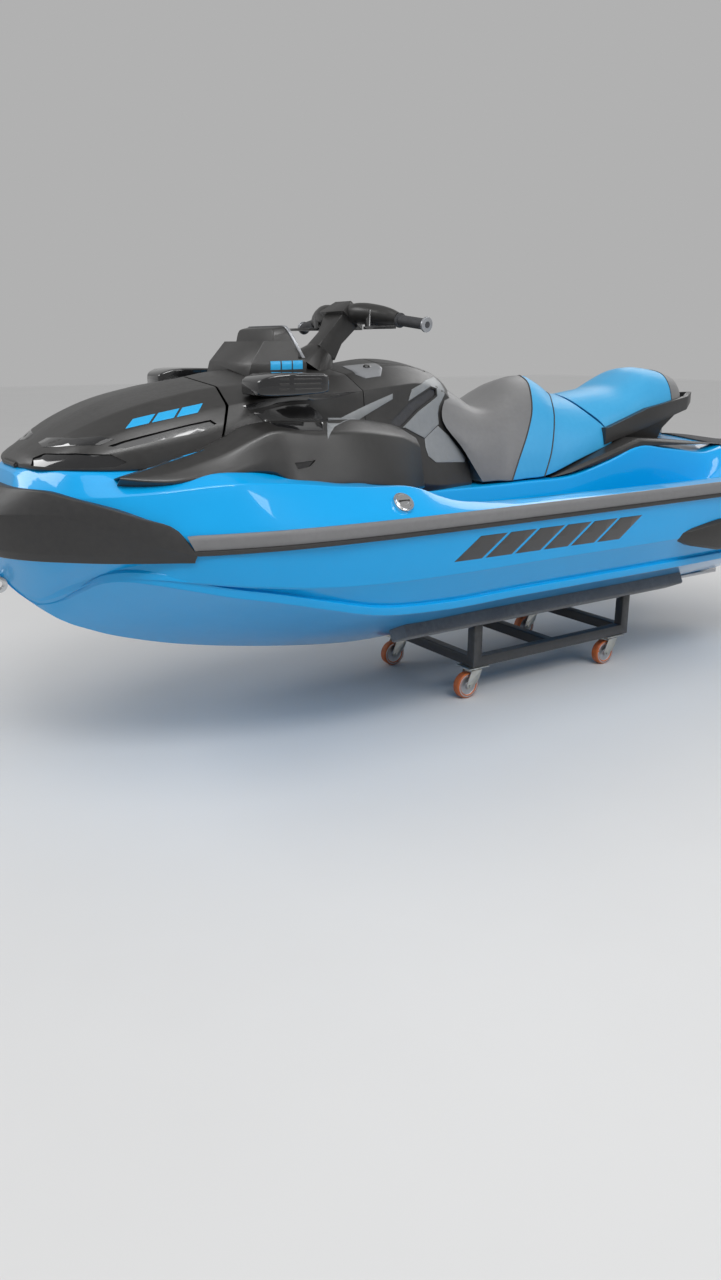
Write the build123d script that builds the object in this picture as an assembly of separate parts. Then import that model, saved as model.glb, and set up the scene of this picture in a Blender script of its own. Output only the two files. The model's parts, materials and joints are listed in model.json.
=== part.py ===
from build123d import *
import os
from math import atan, copysign, cos, radians, sin

# A three-seat personal watercraft on its four-wheeled steel display cart.
# Millimetres. +X is forward, +Y is port, +Z is up.
# The origin is on the floor, below the middle of the craft's length.

os.makedirs("parts", exist_ok=True)

# Overall
LENGTH = 3451.0
BEAM = 1255.0
BOW = LENGTH / 2
STERN = -LENGTH / 2
HALF_BEAM = BEAM / 2

# Heights above the floor
KEEL_Z = 220.0
BOND_Z = 757.0
RAIL_BOTTOM_Z = 731.0
RAIL_TOP_Z = 787.0
RAIL_THICK = 12.0

# Hull
TRANSOM_X = -1470.0
CHINE_Y = 508.0
CHINE_Z = 452.0
DEADRISE = (CHINE_Z - KEEL_Z) / CHINE_Y
DEADRISE_ANGLE = atan(DEADRISE)

# Fit
SEAT_GAP = 0.3
SEAM_GAP = 5.0
DECK_WALL = 8.0

# Engine and the bearers moulded in the hull below it
HULL_WALL = 30.0
ENGINE_X = -280.0
ENGINE_SIZE = (720.0, 420.0, 370.0)
ENGINE_FOOT_Z = 350.0
BEARER_WIDTH = 60.0
BEARER_FOOT_Z = 280.0

# Front storage bin in the deck
BIN_X = (1120.0, 1440.0)
BIN_HALF = 200.0
BIN_FLOOR_Z = 780.0
BIN_TOP_Z = 940.0
BIN_WALL = 6.0

# Hollow under the deck behind the bin
CABLE_BAY_X = (660.0, 1090.0)
CABLE_BAY_HALF = 360.0
CABLE_BAY_TOP_Z = 850.0

# Hinges: where the axis crosses the middle plane (x, z), barrel and pin radius, half the barrel's length
HOOD_HINGE = (1592.0, 950.0)
HOOD_BARREL_R = 8.0
HOOD_PIN_R = 4.0
HOOD_HINGE_HALF = 60.0
LID_HINGE = (174.0, 1199.5)
LID_BARREL_R = 4.0
LID_PIN_R = 2.5
LID_HINGE_HALF = 18.0
HINGE_LUG = 10.0
HINGE_ROOM = 5.0
HINGE_END_GAP = 0.5
HOOD_EAR_DEPTH = 15.0
LID_EAR_DEPTH = 20.0

# Jet pump
PUMP_Z = 384.0
PUMP_BORE_R = 80.0
PUMP_WALL = 14.0
PUMP_FRONT_X = -1200.0
PUMP_REAR_X = -1485.0
TUNNEL_HALF = 112.0
TUNNEL_TOP_Z = PUMP_Z + PUMP_BORE_R + PUMP_WALL + 14.0
TUNNEL_FRONT_X = -1190.0
DUCT_FRONT_X = -900.0
RECESS_DEPTH = 60.0
RECESS_HALF = 150.0
RECESS_TOP_Z = PUMP_Z + 190.0
RECESS_WALL = 18.0
PLATE_Z = 276.0
PLATE_THICK = 12.0
PLATE_HALF = 135.0
VENTURI_R = 54.0
VENTURI_END_X = -1518.0
NOZZLE_PIVOT_X = -1508.0
NOZZLE_FRONT_X = -1516.0
NOZZLE_SWING = 10.0
NOZZLE_R = 58.0
NOZZLE_WALL = 8.0
NOZZLE_LENGTH = 108.0
NOZZLE_LUG_HALF = 12.0
NOZZLE_PIN_R = 6.0
BUCKET_X = -1476.0
BUCKET_HALF = 122.0
BUCKET_R = 172.0
BUCKET_WALL = 6.0
BUCKET_PIN_R = 8.0
SHAFT_R = 14.0
SHAFT_FRONT_X = -965.0
PIN_CLEAR = 0.05

# Steering
STEER_FOOT = Vector(585.0, 0.0, 1206.0)
STEER_LEAN = 38.0
STEER_DIR = Vector(-sin(radians(STEER_LEAN)), 0.0, cos(radians(STEER_LEAN)))
BAR_HALF = 376.0
BAR_R = 11.0
GRIP_R = 17.0
GRIP_LENGTH = 120.0
GRIP_FLANGE_R = 23.0

# Cart
CART_X = -293.5
WHEELBASE = 737.0
CART_TRACK = 474.0
CASTER_R = 50.0
CASTER_WIDTH = 34.0
CASTER_TRAIL = 32.0
CASTER_TOP_Z = 122.0
TUBE = 40.0
BUNK_FRONT_X = 426.0
BUNK_REAR_X = -1013.0
BUNK_WIDTH = 105.0
BUNK_THICK = 52.0
BUNK_Y = 270.0


def box(x0, x1, y0, y1, z0, z1):
    return Pos((x0 + x1) / 2, (y0 + y1) / 2, (z0 + z1) / 2) * Box(x1 - x0, y1 - y0, z1 - z0)


def rod(start, end, radius):
    start = Vector(*start)
    run = Vector(*end) - start
    return Plane(origin=start, z_dir=run.normalized()) * Cylinder(
        radius, run.length, align=(Align.CENTER, Align.CENTER, Align.MIN))


def side_profile(points, y0, y1):
    # A closed outline of (x, z) points, pulled from y0 to y1.
    face = Plane.XZ * make_face(Polyline(*points, close=True))
    return Pos(0, y0, 0) * extrude(face, amount=-(y1 - y0))


def plan_profile(points, z0, z1):
    # A closed outline of (x, y) points, pulled from z0 to z1.
    return Pos(0, 0, z0) * extrude(make_face(Polyline(*points, close=True)), amount=z1 - z0)


def half_section(x, half):
    # Port half from the lowest centre point to the highest one, mirrored.
    starboard = [(x, -y, z) for y, z in reversed(half) if y > 0]
    return Face(Wire.make_polygon([(x, y, z) for y, z in half] + starboard))


def side_section(x, ring):
    # A closed ring of (y, z) points on one side of the craft.
    return Face(Wire.make_polygon([(x, y, z) for y, z in ring]))


def skin(faces):
    return loft(faces, ruled=True)


def other_side(part):
    return mirror(part, about=Plane.XZ)


def both_sides(part):
    return Compound([part.solid(), other_side(part).solid()])


def barrel(hinge, barrel_r, pin_r, half):
    # The moving half of a hinge: a barrel across the craft, with its pin standing out at both ends.
    x, z = hinge
    body = rod((x, -half, z), (x, half, z), barrel_r)
    return body + rod((x, -half - HINGE_LUG, z), (x, half + HINGE_LUG, z), pin_r)


def ears(hinge, barrel_r, half, depth, grow=0.0):
    # The two ears at the barrel's ends, or, grown, the room around them.
    x, z = hinge
    inner = half + HINGE_END_GAP
    blocks = []
    for side in (1, -1):
        near, far = side * (inner - grow), side * (inner + HINGE_LUG + grow)
        blocks.append(box(x - barrel_r - grow, x + barrel_r + grow, min(near, far), max(near, far),
                          z - depth - grow, z + barrel_r + grow))
    return blocks[0] + blocks[1]


def hinged(body, hinge, barrel_r, pin_r, half, depth):
    # The fixed half of a hinge: the ears with their bores, and a trough for the barrel.
    x, z = hinge
    body = body + ears(hinge, barrel_r, half, depth)
    body -= rod((x, -half - 2 * HINGE_LUG, z), (x, half + 2 * HINGE_LUG, z), pin_r + PIN_CLEAR)
    return body - rod((x, -half - HINGE_END_GAP, z), (x, half + HINGE_END_GAP, z), barrel_r + HINGE_ROOM / 2)


def interp(table, x):
    # Straight line between the rows of (x, value), whose x falls.
    for (xa, va), (xb, vb) in zip(table, table[1:]):
        if xb <= x <= xa:
            return va + (vb - va) * (xa - x) / (xa - xb)
    return table[0][1] if x > table[0][0] else table[-1][1]


# Half breadth of the rub rail in plan. The bow's and stern's curves keep their length: distance from the
# end of the craft, y.
BOW_PLAN = [
    (0, 62), (25.5, 120), (70.5, 210), (125.5, 285), (206.5, 358), (275.5, 414), (368.5, 474),
    (485.5, 530), (583.5, 559), (690.5, 584), (825.5, 602), (1032.5, 617), (1295.5, 625),
]
STERN_PLAN = [(925.5, HALF_BEAM), (562.5, 614), (325.5, 596), (165.5, 570), (65.5, 525), (0, 440)]
MIDSHIP_X = 100.0
PLAN = [(BOW - behind, y) for behind, y in BOW_PLAN] + [(MIDSHIP_X, HALF_BEAM)]
PLAN += [(STERN + ahead, y) for ahead, y in STERN_PLAN]


def breadth(x):
    return interp(PLAN, x)


def wall_y(x):
    return breadth(x) - RAIL_THICK


# Hull: x, keel z, chine (y, z), side groove (y, z), bow knuckle (y, z)
HULL = [
    (1697, 694, (6, 698), (9, 700), (14, 704)),
    (1655, 632, (6, 636), (10, 639), (16, 643)),
    (1582, 545, (9, 549), (14, 551), (20, 555)),
    (1519, 490, (62, 541), (92, 567), (120, 594)),
    (1450, 446, (286, 642), (290, 646), (298, 660)),
    (1357, 404, (408, 640), (410, 660), (414, 706)),
    (1240, 364, (466, 616), (482, 650), (515, 718)),
    (1035, 311, (500, 568), (530, 622), (566, 722)),
    (693, 252, (CHINE_Y, CHINE_Z + 26), (560, 590), (600, 724)),
    (430, KEEL_Z, (CHINE_Y, CHINE_Z), (572, 586), (608, 724)),
    (-1013, KEEL_Z, (CHINE_Y, CHINE_Z), (572, 586), (602, 724)),
    (TRANSOM_X, KEEL_Z, (CHINE_Y - 40, CHINE_Z), (548, 590), (574, 724)),
]


def hull_section(x, keel, chine, groove, knuckle):
    wall = wall_y(x)
    lip = (chine[0] + min(14.0, chine[0] * 0.03), chine[1] + min(20.0, chine[0] * 0.04))
    knee = (min(knuckle[0], wall - 1), knuckle[1])
    return half_section(x, [
        (0, keel), chine, lip, groove, knee, (wall, RAIL_BOTTOM_Z), (wall, BOND_Z), (0, BOND_Z)])


def hull_blank():
    return skin([hull_section(*row) for row in HULL])


def bilge():
    # The hollow of the hull, one wall in from its skin.
    rows = []
    for x, keel, chine, groove, knuckle in HULL[4:]:
        wall = wall_y(x) - HULL_WALL
        rows.append(half_section(max(x, TRANSOM_X + HULL_WALL), [
            (0, keel + HULL_WALL), (chine[0] - HULL_WALL, chine[1] + HULL_WALL / 2),
            (groove[0] - HULL_WALL, groove[1]), (min(knuckle[0] - HULL_WALL, wall - 1), knuckle[1]),
            (wall, RAIL_BOTTOM_Z), (wall, BOND_Z + 1), (0, BOND_Z + 1)]))
    return skin(rows)


def duct_block():
    # The room that the jet duct takes in the stern, with its deeper frame at the transom.
    half = TUNNEL_HALF + HULL_WALL
    frame_half = RECESS_HALF + RECESS_WALL
    block = box(TRANSOM_X - 1, DUCT_FRONT_X, -half, half, 0, TUNNEL_TOP_Z + HULL_WALL)
    return block + box(TRANSOM_X - 1, TRANSOM_X + RECESS_DEPTH + RECESS_WALL, -frame_half, frame_half,
                       0, RECESS_TOP_Z + RECESS_WALL)


def hull(form):
    length, width, height = ENGINE_SIZE
    body = form - bilge() - duct_block()
    for side in (1, -1):
        inner = side * (width / 2 - BEARER_WIDTH)
        outer = side * width / 2
        body += box(ENGINE_X - length / 2, ENGINE_X + length / 2, min(inner, outer), max(inner, outer),
                    BEARER_FOOT_Z, ENGINE_FOOT_Z)
    return body


# Intake of the jet duct in side view: x, z
INTAKE_HALF = 78.0
INTAKE_ROOF_Z = TUNNEL_TOP_Z - 20
INTAKE = [(-930, 200), (-940, 300), (-1120, INTAKE_ROOF_Z), (TUNNEL_FRONT_X, INTAKE_ROOF_Z),
          (TUNNEL_FRONT_X - 1, 200)]


def jet_duct(form):
    body = form & duct_block()
    body -= box(TRANSOM_X - 1, TUNNEL_FRONT_X, -TUNNEL_HALF, TUNNEL_HALF, 0, TUNNEL_TOP_Z)
    body -= box(TRANSOM_X - 1, TRANSOM_X + RECESS_DEPTH, -RECESS_HALF, RECESS_HALF, PLATE_Z, RECESS_TOP_Z)
    body -= box(TRANSOM_X - 1, TUNNEL_FRONT_X, -PLATE_HALF, PLATE_HALF, 0, PLATE_Z)
    body -= side_profile(INTAKE, -INTAKE_HALF, INTAKE_HALF)
    return largest(body - rod((SHAFT_FRONT_X + SEAT_GAP, 0, PUMP_Z), (TUNNEL_FRONT_X, 0, PUMP_Z),
                              SHAFT_R + PIN_CLEAR))


# Deck: x, shoulder crease (y, z), inner edge (y, z), centre z
DECK = [
    (1627, (200, 880), (110, 893), 896),
    (1608, (222, 890), (90, 938), 941),
    (1585, (240, 890), (120, 946), 946),
    (1515, (328, 884), (270, 948), 948),
    (1355, (430, 895), (345, 946), 946),
    (1130, (510, 913), (450, 940), 944),
    (1000, (524, 915), (452, 944), 944),
    (800, (540, 892), (470, 896), 896),
    (527, (530, 862), (460, 864), 866),
    (390, (545, 818), (480, 816), 816),
    (300, (558, 804), (480, 800), 800),
    (-300, (560, 796), (480, 798), 800),
    (-490, (560, 792), (400, 835), 838),
    (-713, (558, 790), (300, 898), 905),
    (-1163, (545, 790), (320, 880), 898),
    (-1560, (512, 798), (400, 842), 856),
    (STERN + RAIL_THICK, (400, 800), (340, 828), 842),
]


def deck_section(x, crease, inner, centre):
    wall = wall_y(x)
    return half_section(x, [
        (0, BOND_Z), (wall, BOND_Z), (wall, RAIL_TOP_Z), crease, inner, (0, centre)])


# Footwell outline, port: x, y of the floor and x, y of the mouth
WELL_FLOOR_Z = 560.0
WELL_TOP_Z = 1000.0
WELL_FLOOR = [
    (430, 320), (430, 470), (300, 500), (-700, 500), (-860, 470), (-860, 330), (-600, 300), (60, 300)]
WELL_MOUTH = [
    (640, 310), (640, 500), (420, 530), (-900, 532), (-1600, 480), (-1600, 370), (-600, 262), (60, 250)]
WELL_MIDDLE = (-200, 400)


def footwell(margin=0.0):
    def ring(points, z):
        cx, cy = WELL_MIDDLE
        spread = [(x + copysign(margin, x - cx), y + copysign(margin, y - cy), z) for x, y in points]
        return Face(Wire.make_polygon(spread))
    return skin([ring(WELL_FLOOR, WELL_FLOOR_Z - margin), ring(WELL_MOUTH, WELL_TOP_Z)])


def deck_blank():
    return skin([deck_section(*row) for row in DECK])


def deck(blank):
    well = footwell()
    store = box(*BIN_X, -BIN_HALF, BIN_HALF, BOND_Z - 1, WELL_TOP_Z)
    cable_bay = box(*CABLE_BAY_X, -CABLE_BAY_HALF, CABLE_BAY_HALF, BOND_Z - 1, CABLE_BAY_TOP_Z)
    body = blank - well - other_side(well) - store - cable_bay
    return hinged(body, HOOD_HINGE, HOOD_BARREL_R, HOOD_PIN_R, HOOD_HINGE_HALF, HOOD_EAR_DEPTH)


def bin_tub():
    # The storage bin drops into the deck's opening.
    gap, wall = SEAT_GAP, SEAT_GAP + BIN_WALL
    front, rear = BIN_X[1], BIN_X[0]
    tub = box(rear + gap, front - gap, -BIN_HALF + gap, BIN_HALF - gap, BIN_FLOOR_Z - BIN_WALL, BIN_TOP_Z)
    return tub - box(rear + wall, front - wall, -BIN_HALF + wall, BIN_HALF - wall, BIN_FLOOR_Z, BIN_TOP_Z + 1)


def footwell_tray():
    # The part of the port well that hangs below the deck's seam.
    below = box(STERN, BOW, 0, HALF_BEAM, 0, BOND_Z)
    return (footwell(DECK_WALL) & below) - footwell()


def largest(shape):
    return max(shape.solids(), key=lambda solid: solid.volume)


def craft_outline():
    port = [(x, y) for x, y in PLAN]
    return port + [(x, -y) for x, y in reversed(port)]


# Where the bow bumper ends and the rub rail begins, at the rail's foot and top
BUMPER_TAIL_X = 1262.0
BUMPER_TAIL_LEAN = 45.0


def rub_rail(hull_body, blank, bumper):
    band = plan_profile(craft_outline(), RAIL_BOTTOM_Z, RAIL_TOP_Z)
    ahead = side_profile([
        (BUMPER_TAIL_X, RAIL_BOTTOM_Z - 1), (BUMPER_TAIL_X + BUMPER_TAIL_LEAN, RAIL_TOP_Z + 1),
        (BOW + 1, RAIL_TOP_Z + 1), (BOW + 1, RAIL_BOTTOM_Z - 1)], -HALF_BEAM, HALF_BEAM)
    return largest(band - hull_body - blank - ahead - overhang() - bumper)


def overhang():
    # The open space inside the rail's foot, between the transom and the stern.
    aft = [TRANSOM_X - 1] + [x for x, y in PLAN if STERN + RAIL_THICK < x < TRANSOM_X - 1]
    port = [(x, wall_y(x)) for x in aft] + [(STERN + RAIL_THICK, wall_y(STERN) - RAIL_THICK)]
    space = plan_profile(port + [(x, -y) for x, y in reversed(port)], RAIL_BOTTOM_Z - 1, BOND_Z)
    return space & box(STERN + RAIL_THICK, TRANSOM_X, -HALF_BEAM, HALF_BEAM, RAIL_BOTTOM_Z - 1, BOND_Z)


# Bow bumper: x, foot y, crease (y, z), top edge (y, z), centre z
BUMPER_FOOT_Z = 711.0
BUMPER = [
    (BOW, 50, (62, 826), (50, 848), 850),
    (1700, 105, (128, 832), (105, 876), 878),
    (1655, 190, (215, 836), (182, 902), 902),
    (1600, 262, (288, 838), (256, 903), 903),
    (1519, 336, (360, 826), (348, 884), 884),
    (1400, 428, (452, 778), (444, 846), 846),
    (1309, 484, (500, 749), (494, 802), 802),
    (BUMPER_TAIL_X, 510, (522, 733), (520, 734), 734),
]


def bow_bumper(hull_body, blank):
    rows = []
    for x, foot, crease, top, centre in BUMPER:
        lip = (foot + 10, BUMPER_FOOT_Z + 16)
        edge = [(0, BUMPER_FOOT_Z), (foot, BUMPER_FOOT_Z), lip, crease, top, (0, centre)]
        rows.append(half_section(x, edge))
    return largest(skin(rows) - hull_body - blank)


# Front storage hood: x, foot (y, z), flank (y, z), top crease (y, z), centre z
HOOD_FRONT_X = 1592.0
HOOD_REAR_X = 1031.0
HOOD = [
    (HOOD_FRONT_X, (100, 951), (92, 958), (60, 963), 965),
    (1530, (240, 950), (225, 978), (120, 1002), 1008),
    (1450, (310, 950), (298, 1004), (170, 1048), 1058),
    (1350, (340, 948), (325, 1030), (200, 1088), 1101),
    (1250, (350, 956), (338, 1054), (222, 1116), 1130),
    (1130, (356, 976), (345, 1080), (240, 1144), 1165),
    (HOOD_REAR_X, (360, 990), (340, 1098), (245, 1158), 1188),
]
HOOD_WALL = 22.0
HOOD_DROP = 60.0


def hood_section(x, foot, flank, crease, centre, drop=HOOD_DROP):
    return half_section(x, [(0, foot[1] - drop), (foot[0], foot[1] - drop), foot, flank, crease, (0, centre)])


def front_hood(blank):
    shell = skin([hood_section(*row) for row in HOOD]) - Pos(0, 0, SEAM_GAP / 5) * blank
    shell -= inside(HOOD[1:], HOOD_WALL, HOOD_DROP)
    shell -= ears(HOOD_HINGE, HOOD_BARREL_R, HOOD_HINGE_HALF, HOOD_EAR_DEPTH, HINGE_ROOM)
    return largest(shell + barrel(HOOD_HINGE, HOOD_BARREL_R, HOOD_PIN_R, HOOD_HINGE_HALF))


# Fairing between the hood and the console, with the same columns as the hood
FAIRING_REAR_X = 560.0
FAIRING = [
    (HOOD_REAR_X - SEAM_GAP, (362, 990), (340, 1098), (245, 1158), 1188),
    (900, (385, 950), (350, 1118), (225, 1166), 1198),
    (760, (380, 925), (335, 1120), (205, 1172), 1200),
    (FAIRING_REAR_X, (350, 880), (270, 1130), (165, 1180), 1206),
]
CONSOLE_REAR_X = 60.0
CONSOLE = [
    (FAIRING_REAR_X, (350, 880), (270, 1130), (165, 1180), 1206),
    (430, (310, 850), (235, 1143), (140, 1205), 1225),
    (300, (285, 820), (190, 1146), (115, 1205), 1222),
    (170, (262, 810), (160, 1120), (100, 1176), 1198),
    (85, (252, 806), (160, 1070), (90, 1140), 1172),
    (CONSOLE_REAR_X, (250, 806), (165, 1050), (90, 1105), 1140),
]


FAIRING_DROP = 80.0
COWL_WALL = 20.0


def cowl(rows, blank, drop):
    return skin([hood_section(*row, drop) for row in rows]) - blank


def inside(rows, wall, drop):
    # The same rows one wall in, and one wall short at each end.
    inner = []
    for x, foot, flank, crease, centre in rows:
        x = min(max(x, rows[-1][0] + wall), rows[0][0] - wall)
        inner.append(hood_section(x, (foot[0] - wall, foot[1]), (flank[0] - wall, flank[1] - wall / 2),
                                  (crease[0] - wall / 2, crease[1] - wall), centre - wall, drop))
    return skin(inner)


# Side panel beside the hood and fairing, port: x, foot (y, z), outer crease (y, z), top (y, z)
PANEL = [
    (1418, (402, 934), (402, 938), (396, 941)),
    (1290, (448, 922), (446, 930), (372, 962)),
    (1120, (455, 930), (452, 942), (366, 1012)),
    (1000, (456, 935), (450, 960), (352, 1062)),
    (930, (498, 885), (480, 925), (362, 1076)),
    (760, (470, 885), (455, 925), (350, 1070)),
    (FAIRING_REAR_X, (440, 855), (420, 900), (300, 1030)),
]
PANEL_INNER_Y = 250.0
PANEL_INNER_GAP = 6.0
PANEL_DROP = 30.0


def side_panel(blank, fairing_body):
    rows = []
    for x, foot, crease, top in PANEL:
        inner = PANEL_INNER_Y if x < 1400 else top[0] - 6
        low = foot[1] - PANEL_DROP
        rows.append(side_section(x, [(inner, low), (foot[0], low), foot, crease, top, (inner, top[1] - 1)]))
    body = skin(rows) - blank - fairing_body
    # The hood's foot is its widest line, so the room for it runs straight up.
    swing = []
    for x, foot, flank, crease, centre in HOOD:
        side = foot[0] + PANEL_INNER_GAP
        low = foot[1] - HOOD_DROP
        swing.append(half_section(x, [(0, low), (side, low), (side, COWL_TOP_Z), (0, COWL_TOP_Z)]))
    hood_side = HOOD[-1][1][0] + PANEL_INNER_GAP
    seam = box(HOOD_REAR_X - SEAM_GAP, HOOD_REAR_X, 0, hood_side, DECK[0][3], COWL_TOP_Z)
    return largest(body - skin(swing) - seam)


# Mirror pod, port, in side view: x, z
MIRROR_OUTLINE = [
    (1024, 1118), (1018, 1152), (985, 1190), (960, 1197), (822, 1197), (801, 1182), (803, 1142), (984, 1126)]
MIRROR_INNER_Y = 285.0
MIRROR_OUTER_Y = 458.0


def mirror_pod(fairing_body, panel):
    pod = side_profile(MIRROR_OUTLINE, MIRROR_INNER_Y, MIRROR_OUTER_Y)
    outer = MIRROR_OUTER_Y + 5
    corner = plan_profile([(1060, outer - 80), (960, outer), (1060, outer)], 1100, 1210)
    glass = box(800, 812, MIRROR_INNER_Y + 67, MIRROR_OUTER_Y - 10, 1149, 1186)
    return largest(pod - corner - glass - fairing_body - panel)


# Gauge hood in side view: x, z
GAUGE_TOP_Z = 1331.0
GAUGE_OUTLINE = [(672, GAUGE_TOP_Z), (690, 1262), (700, 1170), (905, 1170), (890, 1222), (827, 1298)]
GAUGE_BROW_X = 812.0
GAUGE_HALF = 150.0
GAUGE_WALL = 14.0
GAUGE_FACE_X = 742.0

# Bright rim let into the gauge hood's rear edge
RIM_DEPTH = 30.0
RIM_THICK = 8.0
RIM_FOOT_Z = 1232.0


def gauge_form(inset):
    # The hood's outer shape, drawn in by inset on the sides and top.
    top = GAUGE_TOP_Z - inset
    half = GAUGE_HALF - inset
    body = side_profile(GAUGE_OUTLINE + [(GAUGE_BROW_X, GAUGE_TOP_Z)], -half, half)
    body -= box(640, 920, -half, half, top, GAUGE_TOP_Z + 1)
    for side in (1, -1):
        outer = side * (half + 5)
        inner = side * (half - 26)
        taper = Face(Wire.make_polygon([(640, inner, 1340), (640, outer, 1340), (640, outer, 1190)]))
        body -= extrude(taper, amount=300, dir=(1, 0, 0))
    return body


def rim_band(room):
    # The strip along the rear edge that the rim takes, with room round it.
    rear = [(x + RIM_DEPTH + room, z) for x, z in GAUGE_OUTLINE[:3]]
    strip = side_profile([(640, 1170), (640, 1340), (rear[0][0], 1340)] + rear, -GAUGE_HALF, GAUGE_HALF)
    return strip - box(600, 760, -GAUGE_HALF, GAUGE_HALF, 1100, RIM_FOOT_Z - room)


def gauge_rim():
    return (gauge_form(0) - gauge_form(RIM_THICK)) & rim_band(0)


def gauge_hood(fairing_body):
    rebate = (gauge_form(0) - gauge_form(RIM_THICK + SEAT_GAP)) & rim_band(SEAT_GAP)
    side = GAUGE_HALF - 34
    window = box(600, GAUGE_FACE_X, -side, side, 1216, GAUGE_TOP_Z - GAUGE_WALL)
    return largest(gauge_form(0) - window - rebate - fairing_body)


def gauge_display():
    side = GAUGE_HALF - 40
    return box(GAUGE_FACE_X - 8, GAUGE_FACE_X, -side, side, 1222, GAUGE_TOP_Z - GAUGE_WALL - 6)


# Steering
NECK_TOP = 52.0
NECK_TOP_R = 48.0
NECK_FOOT_R = 92.0
STEM_PIN_R = 14.0
BAR_CENTRE = STEER_FOOT + STEER_DIR * 205.0


def along(distance):
    return STEER_FOOT + STEER_DIR * distance


def steering_plane(distance):
    return Plane(origin=along(distance), x_dir=Vector(STEER_DIR.Z, 0, -STEER_DIR.X), z_dir=STEER_DIR)


def steering_neck(cowls):
    cone = steering_plane(-30) * Cone(
        NECK_FOOT_R, NECK_TOP_R, NECK_TOP + 30, align=(Align.CENTER, Align.CENTER, Align.MIN))
    bore = rod(along(10), along(NECK_TOP + 1), STEM_PIN_R + 0.05)
    body = cone - bore
    for cowl_body in cowls:
        body -= cowl_body
    return largest(body)


def steering_stem():
    foot = steering_plane(NECK_TOP + SEAT_GAP) * Rectangle(78, 78)
    waist = steering_plane(NECK_TOP + 60) * Rectangle(62, 70)
    head = steering_plane(205 - BAR_R - 6) * Rectangle(70, 120)
    pin = rod(along(12), along(NECK_TOP + 2), STEM_PIN_R)
    return skin([foot.face(), waist.face(), head.face()]) + pin


def handlebar():
    centre = BAR_CENTRE
    end = (centre.X - 62, BAR_HALF, centre.Z - 36)
    half = [end, (centre.X - 40, 200, centre.Z - 14), (centre.X, 90, centre.Z)]
    path = FilletPolyline(*half, *[(x, -y, z) for x, y, z in reversed(half)], radius=60)
    start = Plane(origin=path @ 0, z_dir=path % 0)
    bar = sweep(start * Circle(BAR_R), path=path)
    for side in (1, -1):
        tip = Vector(centre.X - 62, side * BAR_HALF, centre.Z - 36)
        run = (Vector(centre.X - 40, side * 200, centre.Z - 14) - tip).normalized()
        bar += rod(tip, tip + run * GRIP_LENGTH, GRIP_R)
        bar += rod(tip, tip + run * 8, GRIP_FLANGE_R)
        bar += rod(tip + run * GRIP_LENGTH, tip + run * (GRIP_LENGTH + 8), GRIP_FLANGE_R)
    return bar


def handlebar_pad(bar, stem):
    low = steering_plane(205 - 24) * Rectangle(96, 150)
    high = steering_plane(205 + 32) * Rectangle(60, 96)
    return largest(skin([low.face(), high.face()]) - bar - stem)


def lever(side):
    centre = BAR_CENTRE
    points = [(150, 6), (168, 34), (250, 46), (330, 34), (334, 24), (255, 34), (182, 24), (166, 0)]
    blade = make_face(Polyline(*[(centre.X + 2 + dx, side * y) for y, dx in points], close=True))
    return Pos(0, 0, centre.Z - 48) * extrude(blade, amount=9)


def lever_clamp(side, bar):
    centre = BAR_CENTRE
    middle = side * 158
    knuckle = box(centre.X - 48, centre.X + 14, middle - 14, middle + 14, centre.Z - 39, centre.Z + 12)
    return knuckle - bar


# Glove box in the console
LID_X = (174.0, 384.0)
LID_HALF = 108.0
LID_FOOT_Z = 1166.0
LID_GAP = 3.0
GLOVE_DEPTH = 120.0
GLOVE_WALL = 16.0
COWL_TOP_Z = 1300.0
COWL_DROP = 60.0


def glovebox_lid(form):
    x, z = LID_HINGE
    lid = form & box(LID_X[0], LID_X[1], -LID_HALF, LID_HALF, LID_FOOT_Z, COWL_TOP_Z)
    lid += box(x, x + 2 * LID_BARREL_R, -LID_HINGE_HALF, LID_HINGE_HALF, z - LID_EAR_DEPTH, z)
    lid -= ears(LID_HINGE, LID_BARREL_R, LID_HINGE_HALF, LID_EAR_DEPTH + HINGE_ROOM, HINGE_ROOM)
    return largest(lid + barrel(LID_HINGE, LID_BARREL_R, LID_PIN_R, LID_HINGE_HALF))


def console(form):
    front, rear = LID_X[1], LID_X[0]
    cut = box(rear - LID_GAP, front + LID_GAP, -LID_HALF - LID_GAP, LID_HALF + LID_GAP,
              LID_FOOT_Z - SEAT_GAP, COWL_TOP_Z)
    pocket = box(rear + GLOVE_WALL, front - GLOVE_WALL, -LID_HALF + GLOVE_WALL, LID_HALF - GLOVE_WALL,
                 LID_FOOT_Z - GLOVE_DEPTH, LID_FOOT_Z + 1)
    tray = box(rear, front, -LID_HALF, LID_HALF, LID_FOOT_Z - GLOVE_DEPTH - GLOVE_WALL, LID_FOOT_Z)
    hollow = inside(CONSOLE, COWL_WALL, COWL_DROP) - tray
    return largest(hinged(form - hollow - cut - pocket, LID_HINGE, LID_BARREL_R, LID_PIN_R, LID_HINGE_HALF,
                          LID_EAR_DEPTH))


# The crown of a seat: its share of the shoulder's breadth, and of the drop from the centre to the shoulder
SEAT_CROWN_Y = 0.45
SEAT_CROWN_DROP = 0.22

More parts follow.
